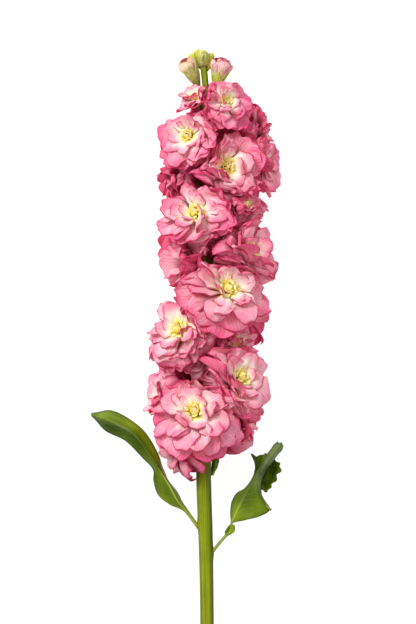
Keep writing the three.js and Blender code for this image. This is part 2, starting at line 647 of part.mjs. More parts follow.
// Leaf through rows of points, refined along and across by the same smooth curve.
function leafSolid({ rows, steps, columns }) {
  const table = (points) => points.map((p, i) => [i / (points.length - 1), ...p]);
  const at = (points, t) => {
    const rowsOf = table(points);
    return [1, 2, 3].map((column) => along(rowsOf, t, column));
  };
  const lines = rows[0].map((_, j) => rows.map((row) => row[j]));
  const middle = [];
  const faces = [];
  const thickness = [];
  for (let i = 0; i <= steps; i += 1) {
    const across = lines.map((line) => at(line, i / steps));
    const stalk = 1 - smoothstep(0, LEAF_STALK_SHARE, i / steps);
    for (let j = 0; j < columns; j += 1) {
      middle.push(vec(...at(across, j / (columns - 1))));
      thickness.push(LEAF_THICKNESS + (LEAF_STALK_THICKNESS - LEAF_THICKNESS) * stalk);
    }
    if (i > 0) faces.push(...strip((i - 1) * columns, columns, i * columns, columns));
  }
  const count = (k) => Array.from({ length: k }, (_, i) => i);
  const margin = [
    ...count(columns),
    ...count(steps).map((i) => (i + 2) * columns - 1),
    ...count(columns - 1).map((j) => (steps + 1) * columns - 2 - j),
    ...count(steps - 1).map((i) => (steps - 1 - i) * columns),
  ];
  return solidOf(sheet(middle, faces, margin, thickness));
}

function part(name, solid, material) {
  const mesh = new THREE.Mesh(geometryOf(solid), material);
  mesh.name = name;
  return mesh;
}

function build() {
  const plant = new THREE.Group();
  const florets = FLORETS.map(settle);
  const slab = ground();
  const green = [stemSolid(), ...florets.map(stalkSolid)];
  for (const { foot, top, radius } of GREEN_BUDS) {
    green.push(eggSolid(vec(...foot), vec(...top), radius, GREEN_BUD_OUTLINE, GREEN_BUD_SIDES));
  }
  for (const bud of OPENING_BUDS) {
    const parts = budParts(bud);
    green.push(parts.green);
    plant.add(part(bud.name, parts.furled, PEACH));
  }
  plant.add(part('stem', joined(green), GREEN));
  for (const floret of florets) {
    const others = florets.filter((other) => other !== floret);
    const planes = others.map((other) => pressingPlane(floret, other)).filter(Boolean);
    plant.add(part(floret.name, floretSolid(floret, planes, slab), PINK));
    plant.add(part(floret.name.replace('floret', 'centre'), tuftSolid(floret), YELLOW));
  }
  for (const leaf of LEAVES) plant.add(part(leaf.name, leafSolid(leaf), LEAF_GREEN));
  plant.position.set(AXIS_SIDE, -CUT_END_BACK, AXIS_HEIGHT);
  return plant;
}

const stockStem = new THREE.Group();
stockStem.add(build());
export default stockStem;
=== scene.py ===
import math

import bpy
import mathutils
import numpy as np
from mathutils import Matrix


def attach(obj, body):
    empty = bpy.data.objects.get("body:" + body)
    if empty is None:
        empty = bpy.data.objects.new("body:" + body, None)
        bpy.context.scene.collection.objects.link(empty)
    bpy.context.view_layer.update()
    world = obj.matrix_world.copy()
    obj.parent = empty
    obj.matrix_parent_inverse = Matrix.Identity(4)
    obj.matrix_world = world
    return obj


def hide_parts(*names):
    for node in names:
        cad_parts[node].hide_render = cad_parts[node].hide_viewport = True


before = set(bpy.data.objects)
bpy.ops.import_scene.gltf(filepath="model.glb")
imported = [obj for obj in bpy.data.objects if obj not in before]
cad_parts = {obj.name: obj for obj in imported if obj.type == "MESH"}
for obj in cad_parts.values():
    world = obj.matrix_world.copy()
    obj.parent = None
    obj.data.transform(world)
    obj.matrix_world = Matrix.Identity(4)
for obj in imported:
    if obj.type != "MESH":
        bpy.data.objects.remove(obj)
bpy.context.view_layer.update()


# Camera. The stem lies on its back, so the camera hangs straight above it and looks down at the
# side that the photograph shows. It is far away, as a flower is photographed, so that the petals
# nearest to it look hardly larger than the stem's cut end.
PLANT_ORIGIN = np.array([11.37, -197.54, 28.5])
PICTURE_HEIGHT = 624
PIXEL = 0.6
VIEW_CENTRE = np.array([0.6, 237.2, 0.0])
CAMERA_DISTANCE = 1500.0
SENSOR_HEIGHT = 36.0

camera_data = bpy.data.cameras.new("camera")
camera_data.sensor_fit = "VERTICAL"
camera_data.sensor_height = SENSOR_HEIGHT
camera_data.lens = SENSOR_HEIGHT * CAMERA_DISTANCE / (PICTURE_HEIGHT * PIXEL)
camera_data.clip_end = 20.0
camera = bpy.data.objects.new("camera", camera_data)
camera.location = (PLANT_ORIGIN + VIEW_CENTRE + [0, 0, CAMERA_DISTANCE]) / 1000
bpy.context.scene.collection.objects.link(camera)
bpy.context.scene.camera = camera


# Stem: one fleshy green shoot, a little angular, that swells where each leaf grows and thins
# towards the buds. It is cut square below, where its pale pith shows inside the green skin.
STEM_LENGTH = 386.0
STEM_LINE = np.array([
    [0, 0, 0], [60, -0.1, 0], [100, -0.8, 0], [140, -2.1, 0], [185, -1.6, 0],
    [245, 0.6, 0], [305, 1.6, 0], [357, 0.4, 0], [386, -2.2, 0],
])
STEM_RADIUS = np.array([[0, 4.2], [60, 4.1], [140, 4.5], [200, 4], [300, 2.8], [357, 2], [386, 2]])
STEM_STEPS = 200
STEM_SIDES = 56
STEM_RIBS = 7
RIB_HEIGHT = 0.018
RIB_TWIST = 0.9
RIB_TWIST_LENGTH = 55
AXILS = [{"height": 109.5, "turn": 180}, {"height": 92.5, "turn": 0}]
AXIL_SWELLING = 0.55
AXIL_LENGTH = 3.5
# Rings of the cut end: height and share of the stem's radius. The skin starts a bevel above them.
CUT_RINGS = np.array([[0.0, 0.3], [0.0, 0.72], [0.0, 0.9], [0.12, 0.97]])
CUT_BEVEL = 0.5
# Painted shade: the stem's skin darkens towards both sides as seen from above, and more on the right,
# away from the lamp.
SIDE_SHADE_POWER = 2.2
SIDE_SHADE_LEAN = 0.25


def along(table, x):
    """Smooth value of a table at x, whose rows hold a key and then values: between two rows a
    cubic, with the slope at each row taken between the rows beside it."""
    keys, values = table[:, 0], table[:, 1:]
    last = len(keys) - 1
    row = np.arange(last + 1)
    below, above = np.maximum(row - 1, 0), np.minimum(row + 1, last)
    slope = (values[above] - values[below]) / (keys[above] - keys[below])[:, None]
    i = np.clip(np.searchsorted(keys, x) - 1, 0, last - 1)
    span = (keys[i + 1] - keys[i])[..., None]
    t = np.clip((np.asarray(x)[..., None] - keys[i][..., None]) / span, 0, 1)
    return (
        (2 * t**3 - 3 * t**2 + 1) * values[i] + (t**3 - 2 * t**2 + t) * span * slope[i]
        + (3 * t**2 - 2 * t**3) * values[i + 1] + (t**3 - t**2) * span * slope[i + 1]
    )


def stem_at(y):
    """Point of the stem's axis at a height up the plant."""
    x, z = np.moveaxis(along(STEM_LINE, y), -1, 0)
    return np.stack([x, np.broadcast_to(y, x.shape), z], axis=-1)


def unit(vectors):
    """Each vector divided by its length."""
    return vectors / np.maximum(np.linalg.norm(vectors, axis=-1, keepdims=True), 1e-9)


def shoot(path, radius, sides, reference):
    """Rings round a path: centre + radius (cos a first + sin a second), where first and second are
    square to the path, and first is the reference direction turned square to it."""
    way = unit(np.gradient(path, axis=-2))
    first = unit(reference - (reference * way).sum(-1, keepdims=True) * way)
    second = np.cross(way, first)
    turn = np.linspace(0, 2 * np.pi, sides, endpoint=False)[:, None]
    radius = radius[..., None] if radius.ndim == path.ndim else radius[..., None, None]
    return path[..., None, :] + radius * (
        np.cos(turn) * first[..., None, :] + np.sin(turn) * second[..., None, :]
    )


def shoot_faces(steps, sides, count=1):
    """Faces of closed shoots: four-sided ones between neighbouring rings, going round and up, and
    one flat face over each end."""
    ring = np.arange(steps * sides).reshape(steps, sides)
    following = np.roll(ring, -1, axis=1)
    walls = np.stack([ring[:-1], following[:-1], following[1:], ring[1:]], axis=-1).reshape(-1, 4)
    shift = np.arange(count)[:, None, None] * steps * sides
    ends = np.stack([ring[0, ::-1], ring[-1]])
    return (walls + shift).reshape(-1, 4).tolist() + (ends + shift).reshape(-1, sides).tolist()


def plant_mesh(name, points, faces, material, across_along=None, marks=None):
    """Mesh object from points in the plant's own millimetres, measured from the cut end. Each
    point may carry its place across and along its own blade, and named marks from 0 to 1."""
    mesh = bpy.data.meshes.new(name)
    mesh.from_pydata(((points.reshape(-1, 3) + PLANT_ORIGIN) / 1000).tolist(), [], faces)
    mesh.polygons.foreach_set("use_smooth", np.ones(len(mesh.polygons), bool))
    if across_along is not None:
        corner = np.empty(len(mesh.loops), np.int32)
        mesh.loops.foreach_get("vertex_index", corner)
        places = across_along.reshape(-1, 2)[corner].astype(np.float32)
        mesh.uv_layers.new(name="across_along").data.foreach_set("uv", places.ravel())
    for word, values in (marks or {}).items():
        mark = mesh.attributes.new(word, "FLOAT", "POINT")
        mark.data.foreach_set("value", np.ravel(values).astype(np.float32))
    mesh.materials.append(material)
    piece = bpy.data.objects.new(name, mesh)
    bpy.context.scene.collection.objects.link(piece)
    return piece


def tint(red, green, blue):
    """Colour as a screen shows it, each part from 0 to 255, as the linear colour of a material."""
    screen = np.array([red, green, blue]) / 255
    linear = np.where(screen <= 0.04045, screen / 12.92, ((screen + 0.055) / 1.055) ** 2.4)
    return (*linear.tolist(), 1.0)


def node(tree, kind, inputs=None, **settings):
    """Adds a shader node with its settings, and its inputs as numbers, colours or sockets."""
    made = tree.nodes.new(kind)
    for word, value in settings.items():
        setattr(made, word, value)
    for socket, value in (inputs or {}).items():
        if isinstance(value, bpy.types.NodeSocket):
            tree.links.new(value, made.inputs[socket])
        else:
            made.inputs[socket].default_value = value
    return made


def blend(tree, share, first, second):
    """Colour between two colours, by a share from 0 to 1."""
    mixed = node(tree, "ShaderNodeMix", {0: share, 6: first, 7: second}, data_type="RGBA")
    return mixed.outputs[2]


def between(tree, value, low, high):
    """Smooth rise from 0 at the low value to 1 at the high one."""
    ramp = node(
        tree, "ShaderNodeMapRange", {0: value, 1: low, 2: high}, interpolation_type="SMOOTHSTEP")
    return ramp.outputs[0]


def result_of(tree, kind, first, second=0.0):
    """Result of one step of arithmetic on two values."""
    return node(tree, "ShaderNodeMath", {0: first, 1: second}, operation=kind).outputs[0]


def times(tree, first, second):
    """Product of two values."""
    return result_of(tree, "MULTIPLY", first, second)


def plus(tree, first, second):
    """Sum of two values."""
    return result_of(tree, "ADD", first, second)


def minus(tree, first, second):
    """First value less the second."""
    return result_of(tree, "SUBTRACT", first, second)


def marked(tree, word):
    """Value of a named mark of the mesh."""
    return node(tree, "ShaderNodeAttribute", attribute_name=word).outputs["Fac"]


def effect_group(name, inputs):
    """Empty shader node group with number inputs and one output named Mask."""
    tree = bpy.data.node_groups.new(name, "ShaderNodeTree")
    tree.interface.new_socket("Place", in_out="INPUT", socket_type="NodeSocketVector")
    for word, value in inputs.items():
        number = tree.interface.new_socket(word, in_out="INPUT", socket_type="NodeSocketFloat")
        number.default_value = value
    tree.interface.new_socket("Mask", in_out="OUTPUT", socket_type="NodeSocketFloat")
    return tree, tree.nodes.new("NodeGroupInput"), tree.nodes.new("NodeGroupOutput")


# Mottle: soft uneven patches, as grown tissue has. Patches of a size, brought to a contrast.
mottle_group, group_in, group_out = effect_group(
    "mottle", {"Scale": 200.0, "Low": 0.35, "High": 0.65})
patches = node(mottle_group, "ShaderNodeTexNoise", {
    "Vector": group_in.outputs["Place"], "Scale": group_in.outputs["Scale"], "Detail": 4.0,
})
mottled = node(mottle_group, "ShaderNodeMapRange", {
    0: patches.outputs["Fac"], 1: group_in.outputs["Low"], 2: group_in.outputs["High"],
}, interpolation_type="SMOOTHSTEP")
mottle_group.links.new(mottled.outputs[0], group_out.inputs["Mask"])

# Veins: thin lines that run along a blade and wander a little, at an even count across it.
vein_group, group_in, group_out = effect_group("veins", {"Count": 9.0, "Width": 0.3, "Wander": 0.06})
place = node(vein_group, "ShaderNodeSeparateXYZ", {0: group_in.outputs["Place"]})
wandering = node(vein_group, "ShaderNodeTexNoise", {
    "Vector": group_in.outputs["Place"], "Scale": 3.0, "Detail": 2.0,
})
shift = times(vein_group, wandering.outputs["Fac"], group_in.outputs["Wander"])
across = plus(vein_group, place.outputs["X"], shift)
turns = times(vein_group, across, group_in.outputs["Count"])
wave = result_of(vein_group, "SINE", times(vein_group, turns, math.pi))
line = node(vein_group, "ShaderNodeMapRange", {
    0: result_of(vein_group, "ABSOLUTE", wave), 1: group_in.outputs["Width"], 2: 0.0,
}, interpolation_type="SMOOTHSTEP")
vein_group.links.new(line.outputs[0], group_out.inputs["Mask"])


def effect(tree, group, place, **values):
    """Mask of an effect group at a place, with its own values."""
    made = node(tree, "ShaderNodeGroup", node_tree=group)
    tree.links.new(place, made.inputs["Place"])
    for word, value in values.items():
        made.inputs[word].default_value = value
    return made.outputs["Mask"]


def tissue(name, roughness, shine, glow, glow_colour, glow_depth, sheen=0.0):
    """New plant material: its shader with constant gloss and inner glow, and its places."""
    material = bpy.data.materials.new(name)
    material.use_nodes = True
    tree = material.node_tree
    tree.nodes.clear()
    skin = node(tree, "ShaderNodeBsdfPrincipled", {
        "Roughness": roughness, "Specular IOR Level": shine, "Subsurface Weight": glow,
        "Subsurface Radius": glow_colour, "Subsurface Scale": glow_depth,
        "Sheen Weight": sheen, "Sheen Roughness": 0.5,
    })
    out = node(tree, "ShaderNodeOutputMaterial")
    tree.links.new(skin.outputs[0], out.inputs[0])
    places = node(tree, "ShaderNodeTexCoord")
    return material, tree, skin, places.outputs["Object"], places.outputs["UV"]


def cover(tree, skin, colour, strength, depth, height):
    """Gives a skin its colour, and a relief of a strength and a depth by a height from 0 to 1."""
    relief = node(
        tree, "ShaderNodeBump", {"Strength": strength, "Distance": depth, "Height": height})
    tree.links.new(colour, skin.inputs["Base Color"])
    tree.links.new(relief.outputs[0], skin.inputs["Normal"])


stem_material, tree, skin, place, blade_place = tissue(
    "stem_skin", 0.4, 0.12, 0.1, (0.5, 0.8, 0.2), 0.001)
long_place = node(tree, "ShaderNodeMapping", {0: blade_place, 3: (30.0, 9.0, 1.0)}).outputs[0]
streaks = effect(tree, mottle_group, long_place, Scale=1.0, Low=0.3, High=0.72)
patches = effect(tree, mottle_group, place, Scale=90.0, Low=0.35, High=0.7)
colour = blend(tree, streaks, tint(112, 128, 8), tint(162, 170, 34))
shade = times(tree, patches, 0.3)
colour = blend(tree, shade, colour, tint(104, 122, 8))
# Painted shade on the stem's sides, darker green.
colour = blend(tree, times(tree, marked(tree, "side_shade"), 0.9), colour, tint(62, 78, 0))
colour = blend(tree, marked(tree, "cut"), colour, tint(206, 214, 150))
cover(tree, skin, colour, 0.25, 0.0003, streaks)

heights = np.linspace(0, STEM_LENGTH, STEM_STEPS)
turn = np.linspace(0, 2 * np.pi, STEM_SIDES, endpoint=False)
radius = along(STEM_RADIUS, heights) * np.ones(STEM_SIDES)
twist = RIB_TWIST * np.sin(heights / RIB_TWIST_LENGTH)
radius *= 1 + RIB_HEIGHT * np.cos(STEM_RIBS * turn + twist[:, None])
for axil in AXILS:
    near = np.exp(-((heights - axil["height"]) / AXIL_LENGTH) ** 2)[:, None]
    facing = np.clip(np.cos(turn - math.radians(axil["turn"])), 0, 1) ** 3
    radius += AXIL_SWELLING * near * facing
cut_heights, cut_shares = CUT_RINGS[:, 0], CUT_RINGS[:, 1:]
heights = np.concatenate([cut_heights, heights + np.linspace(CUT_BEVEL, 0, STEM_STEPS)])
radius = np.concatenate([cut_shares * radius[0], radius])
path = stem_at(heights)
points = shoot(path, radius, STEM_SIDES, np.array([1.0, 0, 0]))
points[: len(CUT_RINGS), :, 1] = cut_heights[:, None]
cut_mark = np.zeros(points.shape[:2])
cut_mark[: len(CUT_RINGS) - 1] = 1
# Painted shade mark: 1 at the sides seen from above, 0 on the sides facing the camera and the floor,
# leaning to the right.
side_shade_mark = np.clip(np.abs(np.cos(turn)) ** SIDE_SHADE_POWER + SIDE_SHADE_LEAN * np.cos(turn), 0, 1)
side_shade_mark = side_shade_mark * np.ones((len(heights), 1))
places = np.stack(np.broadcast_arrays(turn / (2 * np.pi), heights[:, None] / STEM_LENGTH), axis=-1)
stem_piece = plant_mesh(
    "stem_skin", points, shoot_faces(len(heights), STEM_SIDES), stem_material, places,
    {"cut": cut_mark, "side_shade": side_shade_mark})
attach(stem_piece, "root")
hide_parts("stem")


# Florets: the open double flowers, soft heads of petals that crowd round the upper part of the
# stem, each on a short stalk of its own. This section says where they stand and face, and where
# neighbours meet.


def rows_of(words, *rows):
    """Rows of a table as dictionaries, each under the same words."""
    return [dict(zip(words.split(), row)) for row in rows]


# In millimetres and degrees: height of a floret's face up the stem, its turn about the stem from
# the front, reach of the face from the stem's axis, rise of its facing direction towards the buds,
# its radius, and its layer. Of two neighbours, the one with the higher layer lies on top.
FLORETS = rows_of(
    "node height turn reach rise radius layer",
    ("01", 180, -12, 29, 24, 25, 9),
    ("02", 199, 44, 33, 14, 24, 8),
    ("03", 228, -38, 30, 22, 25, 6),
    ("04", 252, 26, 29, 26, 26, 8),
    ("05", 297, -21, 27, 20, 22.5, 7),
    ("06", 301, 48, 29, 12, 18.5, 4),
    ("07", 324, 22, 29, 12, 22, 6),
    ("08", 342, -28, 27, 12, 19.5, 7),
    ("09", 362, 26, 27, 16, 16, 8),
    ("10", 366, -40, 12, 42, 11, 9),
    ("11", 326, 70, 37, 8, 18, 5),
    ("12", 344, 92, 32, 10, 16, 3),
    ("13", 318, -92, 24, 8, 19, 3),
    ("14", 266, -42, 24, 0, 23, 2),
    ("15", 273, 52, 33, 12, 24, 5),
    ("16", 218, 55, 24, 6, 19, 2),
    ("17", 186, -82, 29, 4, 18, 5),
    ("18", 174, 90, 27, 4, 18, 3),
    ("19", 153, -64, 21, -14, 16.5, 1),
    ("20", 176, 164, 26.5, 4, 19, 4),
    ("21", 214, -148, 26.5, 8, 20, 2),
    ("22", 240, 152, 26.5, 8, 20, 5),
    ("23", 281, -158, 26.5, 8, 21, 4),
    ("24", 309, 150, 26.5, 8, 19, 3),
    ("25", 346, -170, 26.2, 10, 18, 5),
    ("26", 282, 13, 18, 6, 15.4, 0),
    ("27", 211, 4, 19, 6, 15, 0),
)
# How widely a floret spreads its petals, as a share of its radius, how far it faces away from
# where it stands, and how far its petals are turned round its heart, both in degrees.
LOOSE_FLORETS = {
    "01": 0.98, "03": 0.99, "04": 1.03, "05": 1.02, "06": 1.06, "07": 1.14, "08": 1.08, "09": 1.06,
    "10": 1.15, "12": 1.25, "14": 1.06, "15": 1.04, "16": 1.15, "17": 1.05, "20": 1.3, "21": 1.3,
    "22": 1.35, "23": 1.1, "24": 1.35, "25": 1.3, "26": 1.45, "27": 1.35,
}
TURNED_FLORETS = {"11": -14, "12": -4, "13": -12, "14": -16, "17": 10, "18": -14}
SPUN_FLORETS = {"05": 180}
FACE_DEPTH = 0.58
MIDDLE_BACK = 0.3
FLORET_REACH_OUT = 1.3
PRESS_LEAN = 0.55
TOP_FLORETS = 355
BUD_FOOT = 375.5


def draw(seed, key):
    """Repeatable draw between 0 and 1: the fraction of a large multiple of a sine."""
    value = np.sin(seed * 12.9898 + key * 78.233) * 43758.5453
    return value - np.floor(value)


def settle(floret, seed):
    """Adds a floret's frame: facing direction, two directions across it, the foot of its petals
    on the calyx, which is a share of the radius behind the face, the middle of its petals, and how
    far they spread."""
    turn, rise = math.radians(floret["turn"]), math.radians(floret["rise"])
    out = np.array([math.sin(turn), 0, math.cos(turn)])
    turn += math.radians(TURNED_FLORETS.get(floret["node"], 0))
    facing = np.array([math.sin(turn), 0, math.cos(turn)]) * math.cos(rise) + [0, math.sin(rise), 0]
    across = unit(np.cross([0, 1, 0], facing))
    depth = FACE_DEPTH * floret["radius"]
    foot = stem_at(np.array(float(floret["height"]))) + out * floret["reach"] - depth * facing
    floret.update(
        seed=seed, out=out, facing=facing, across=across, up=np.cross(facing, across), depth=depth,
        foot=foot, middle=foot + (1 - MIDDLE_BACK) * depth * facing,
        spread=floret["radius"] * LOOSE_FLORETS.get(floret["node"], 1),
    )


for seed, floret in enumerate(FLORETS, 1):
    settle(floret, seed)


def pressing_planes(one):
    """Planes between a floret and each neighbour that it touches, as point, normal and the
    direction in which a pressed petal slides. The plane stands where the two radii meet and leans
    out over the floret that lies below. The top florets also stop under the buds."""
    planes = []
    for other in FLORETS:
        apart = other["middle"] - one["middle"]
        distance = np.linalg.norm(apart)
        if other is one or distance > FLORET_REACH_OUT * (one["radius"] + other["radius"]):
            continue
        share = (distance**2 + one["radius"] ** 2 - other["radius"] ** 2) / (2 * distance**2)
        point = one["middle"] + share * apart
        outward = unit((point - stem_at(point[1])) * [1, 0, 1])
        over = np.sign((one["layer"] - other["layer"]) or (one["seed"] - other["seed"]))
        normal = unit(apart / distance - over * PRESS_LEAN * outward)
        planes.append((point, normal, unit(outward - outward.dot(normal) * normal)))
    if one["height"] > TOP_FLORETS:
        planes.append((np.array([0, BUD_FOOT, 0]), np.array([0, 1.0, 0]), np.array([0, 0, 1.0])))
    return planes


# Floret stalks: each floret stands on a short green stalk that leaves the stem below it and
# curves out. It widens into the calyx, four blunt sepals that hold the petals' claws together.
STALK_DROP = 11.0
STALK_SAG = 1.5
STALK_RADIUS = 0.95
STALK_BEND = 0.62
STALK_FLARE = 1.7
STALK_CALYX = 0.09
STALK_TAPER = 5
STALK_STEPS = 14
STALK_SIDES = 12
SHOULDER_BACK = 0.62
NECK_BACK = 0.25


def uncut_marks(points):
    """Marks of a stalk, which has no cut end and no painted shade on its sides."""
    return {word: np.zeros(points.shape[:-1]) for word in ("cut", "side_shade")}


stalk_paths = []
stalk_radii = []
for floret in FLORETS:
    t = np.linspace(0, 1, STALK_STEPS)[:, None]
    start = stem_at(floret["foot"][1] - STALK_DROP)
    shoulder = floret["foot"] - SHOULDER_BACK * floret["depth"] * floret["facing"]
    bend = start + STALK_BEND * (shoulder - start) - [0, STALK_SAG, 0]
    neck = floret["foot"] - NECK_BACK * floret["depth"] * floret["facing"]
    stalk_paths.append((1 - t) ** 2 * start + 2 * t * (1 - t) * bend + t**2 * neck)
    flare = STALK_FLARE * np.exp(-STALK_TAPER * t[:, 0])
    calyx = STALK_CALYX * floret["radius"] * t[:, 0] ** STALK_TAPER
    stalk_radii.append(STALK_RADIUS + flare + calyx)
points = shoot(np.array(stalk_paths), np.array(stalk_radii), STALK_SIDES, np.array([0.3, 1.0, 0.2]))
stalk_turn = np.linspace(0, 1, STALK_SIDES, endpoint=False)
stalk_way = np.linspace(0, 0.2, STALK_STEPS)[:, None]
places = np.stack(np.broadcast_arrays(stalk_turn, stalk_way), axis=-1)
places = np.broadcast_to(places, (len(FLORETS), *places.shape))
stalks = plant_mesh(
    "stalks", points, shoot_faces(STALK_STEPS, STALK_SIDES, len(FLORETS)), stem_material, places,
    uncut_marks(points))
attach(stalks, "root")
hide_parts("stem")


# Petals: a double floret has some forty of them in whorls, each a thin wavy blade on a narrow claw.
# The outer ones bend back almost flat, the inner ones stand up round the heart, and where two
# florets meet their petals press against each other and slide outwards.
# Whorls from the outermost in: how many petals, their length, half width and how far forward they
# root, all as shares of the floret's spread, the angle of the tip from the facing direction and
# its further curl, in degrees, and how far the planes hold them back, in millimetres.
WHORLS = rows_of(
    "count length half tip curl root stack",
    (6, 1.42, 0.48, 114, 20, 0.05, 0.0),
    (7, 1.30, 0.43, 103, 22, 0.09, 0.6),
    (6, 1.18, 0.41, 92, 24, 0.14, 1.2),
    (6, 1.04, 0.38, 79, 24, 0.19, 1.8),
    (5, 0.88, 0.34, 64, 26, 0.24, 2.4),
    (5, 0.70, 0.28, 48, 20, 0.29, 3.0),
    (4, 0.50, 0.2, 32, 10, 0.33, 3.2),
)
BROAD_WHORLS = rows_of(
    "count length half tip curl root stack",
    (5, 1.46, 0.68, 110, 14, 0.05, 0.0),
    (4, 1.24, 0.56, 88, 18, 0.12, 0.8),
    (4, 0.98, 0.46, 62, 26, 0.2, 1.6),
    (4, 0.72, 0.34, 34, 26, 0.28, 2.4),
)
# Whorl that is bent right back, and hides the calyx of a floret that faces away.
REFLEXED_WHORL = dict(WHORLS[0], length=1.3, half=0.56, tip=146, curl=8, root=0.0)
# Florets with fewer and broader petals, whose whorls count for a little less than one each.
BROAD_FLORETS = ("10", "14", "19", "26", "27")
BROAD_NUMBERING = 0.9
# Whorls of the florets at the sides and at the back, and the turns from the front at which the
# rules for each begin, in degrees.
SIDE_WHORLS = (0, 1, 3, 4, 5)
BACK_WHORLS = (0, 2, 3, 5)
FRONT_TURN = 25
PALE_TURN = 45
SIDE_TURN = 60
BACK_TURN = 95
FRONT_GRID = (19, 17)
BACK_GRID = (15, 13)
PETAL_THICKNESS = 0.34
MARGIN_THICKNESS = 0.14
ROOT_RADIUS = 0.1
CLAW_WIDTH = 0.1
WIDEST_AT = 0.72
TIP_ROUNDING = 0.24
TIP_ROUNDING_POWER = 2.6
TIP_NARROWING = 0.2
NOTCH_WIDTH = 0.25
FRILL = 0.014
THROAT_ANGLE = math.radians(24)
BEND_SHARE = 0.42
PETAL_CUP = 0.22
FOLD = 0.34
BROAD_FOLD = 0.16
FOLD_SOFTNESS = 0.2
RUFFLE = 0.2
SIDE_RUFFLE = 0.14
SIDE_RUFFLED = 1.5
MARGIN_ROLL = 0.15
CRUMPLE = 0.075
FINE_CRUMPLE = 0.4 * CRUMPLE
# How much of the paleness of inner petals is left at the sides, and what a young floret adds.
SIDE_PALENESS = 0.75
YOUNG_PALENESS = 0.35
YOUNG_RADIUS = 12
KEYS_A_WHORL = 20
KEYS_A_DRAW = 1000
CHANCE_KEY = 500
GOLDEN_TURN = 137.5
FLORET_TURN = 47
PRESS_SOFTNESS = 1.2
PRESS_SLIDE = 0.35
PRESS_CLEARANCE = 0.2
PRESS_PASSES = 12
IMBRICATION = 1.8
SPREAD_LIMIT = 1.24
SPREAD_SOFTNESS = 0.06
GROUND_SOFTNESS = 0.3
RISING_HEIGHTS = (100, 350)
# Shares of a floret's reach from the stem over which the painted shade deep between the florets fades
# out.
CREVICE_SHADE_DISTANCES = (0.45, 0.92)
STEM_CLEARANCE = np.array([[0, 7.5], [300, 7.0], [345, 6.0], [372, 5.0], [400, 5.0]])
# What is drawn for each petal, and between which two values: degrees added to its turn, tip and
# curl, shares of its whorl's length and half width, the depth of its cup, the count and phase of
# its ruffles, the depth of its notch, its roll in degrees, its fold to either side, and how far
# the planes hold it back, in millimetres.
PETAL_DRAWS = {
    "turn": (-13, 13), "length": (0.88, 1.12), "half": (0.76, 1.24), "tip": (-16, 16),
    "curl": (-26, 26), "cup": (-1, 2), "waves": (0.6, 2.2), "phase": (0, 2 * math.pi),
    "notch": (0, 0.05), "roll": (-20, 40), "fold": (-1, 1), "held": (0, 0.8),
}


def rise_between(low, high, x):
    """Smooth rise from 0 at low to 1 at high."""
    t = np.clip((x - low) / (high - low), 0, 1)
    return t * t * (3 - 2 * t)


def arc(length, start, turn):
    """Run out and up along an arc of a length whose slope turns on from a start: the radius is
    length / turn, run is radius (cos start - cos end), rise is radius (sin end - sin start)."""
    turn = np.where(np.abs(turn) < 1e-4, 1e-4, turn)
    end = start + turn
    return length / turn * (np.cos(start) - np.cos(end)), length / turn * (np.sin(end) - np.sin(start))


def petals_of(floret, whorl, w):
    """Sizes and angles of a whorl's petals, each drawn a little differently, as columns."""
    seed = floret["seed"]
    order = np.arange(whorl["count"])[:, None, None]
    key = KEYS_A_WHORL * w + order
    drawn = {
        word: low + (high - low) * draw(seed, key + KEYS_A_DRAW * number)
        for number, (word, (low, high)) in enumerate(PETAL_DRAWS.items())}
    turn = 360 * order / whorl["count"] + GOLDEN_TURN * w + FLORET_TURN * seed
    turn = turn + SPUN_FLORETS.get(floret["node"], 0) + drawn["turn"]
    size = floret["spread"]
    petals = {word: drawn[word] for word in ("cup", "waves", "phase", "notch", "held")}
    petals.update(
        azimuth=np.radians(turn),
        length=size * whorl["length"] * drawn["length"],
        half=size * whorl["half"] * drawn["half"],
        tip=np.radians(whorl["tip"] + drawn["tip"]),
        curl=np.radians(whorl["curl"] + drawn["curl"]),
        roll=np.radians(drawn["roll"]),
        fold=drawn["fold"] * (BROAD_FOLD if floret["node"] in BROAD_FLORETS else FOLD),
        root=size * whorl["root"],
        ruffled=1.0 if abs(floret["turn"]) < SIDE_TURN else SIDE_RUFFLED,
    )
    return petals


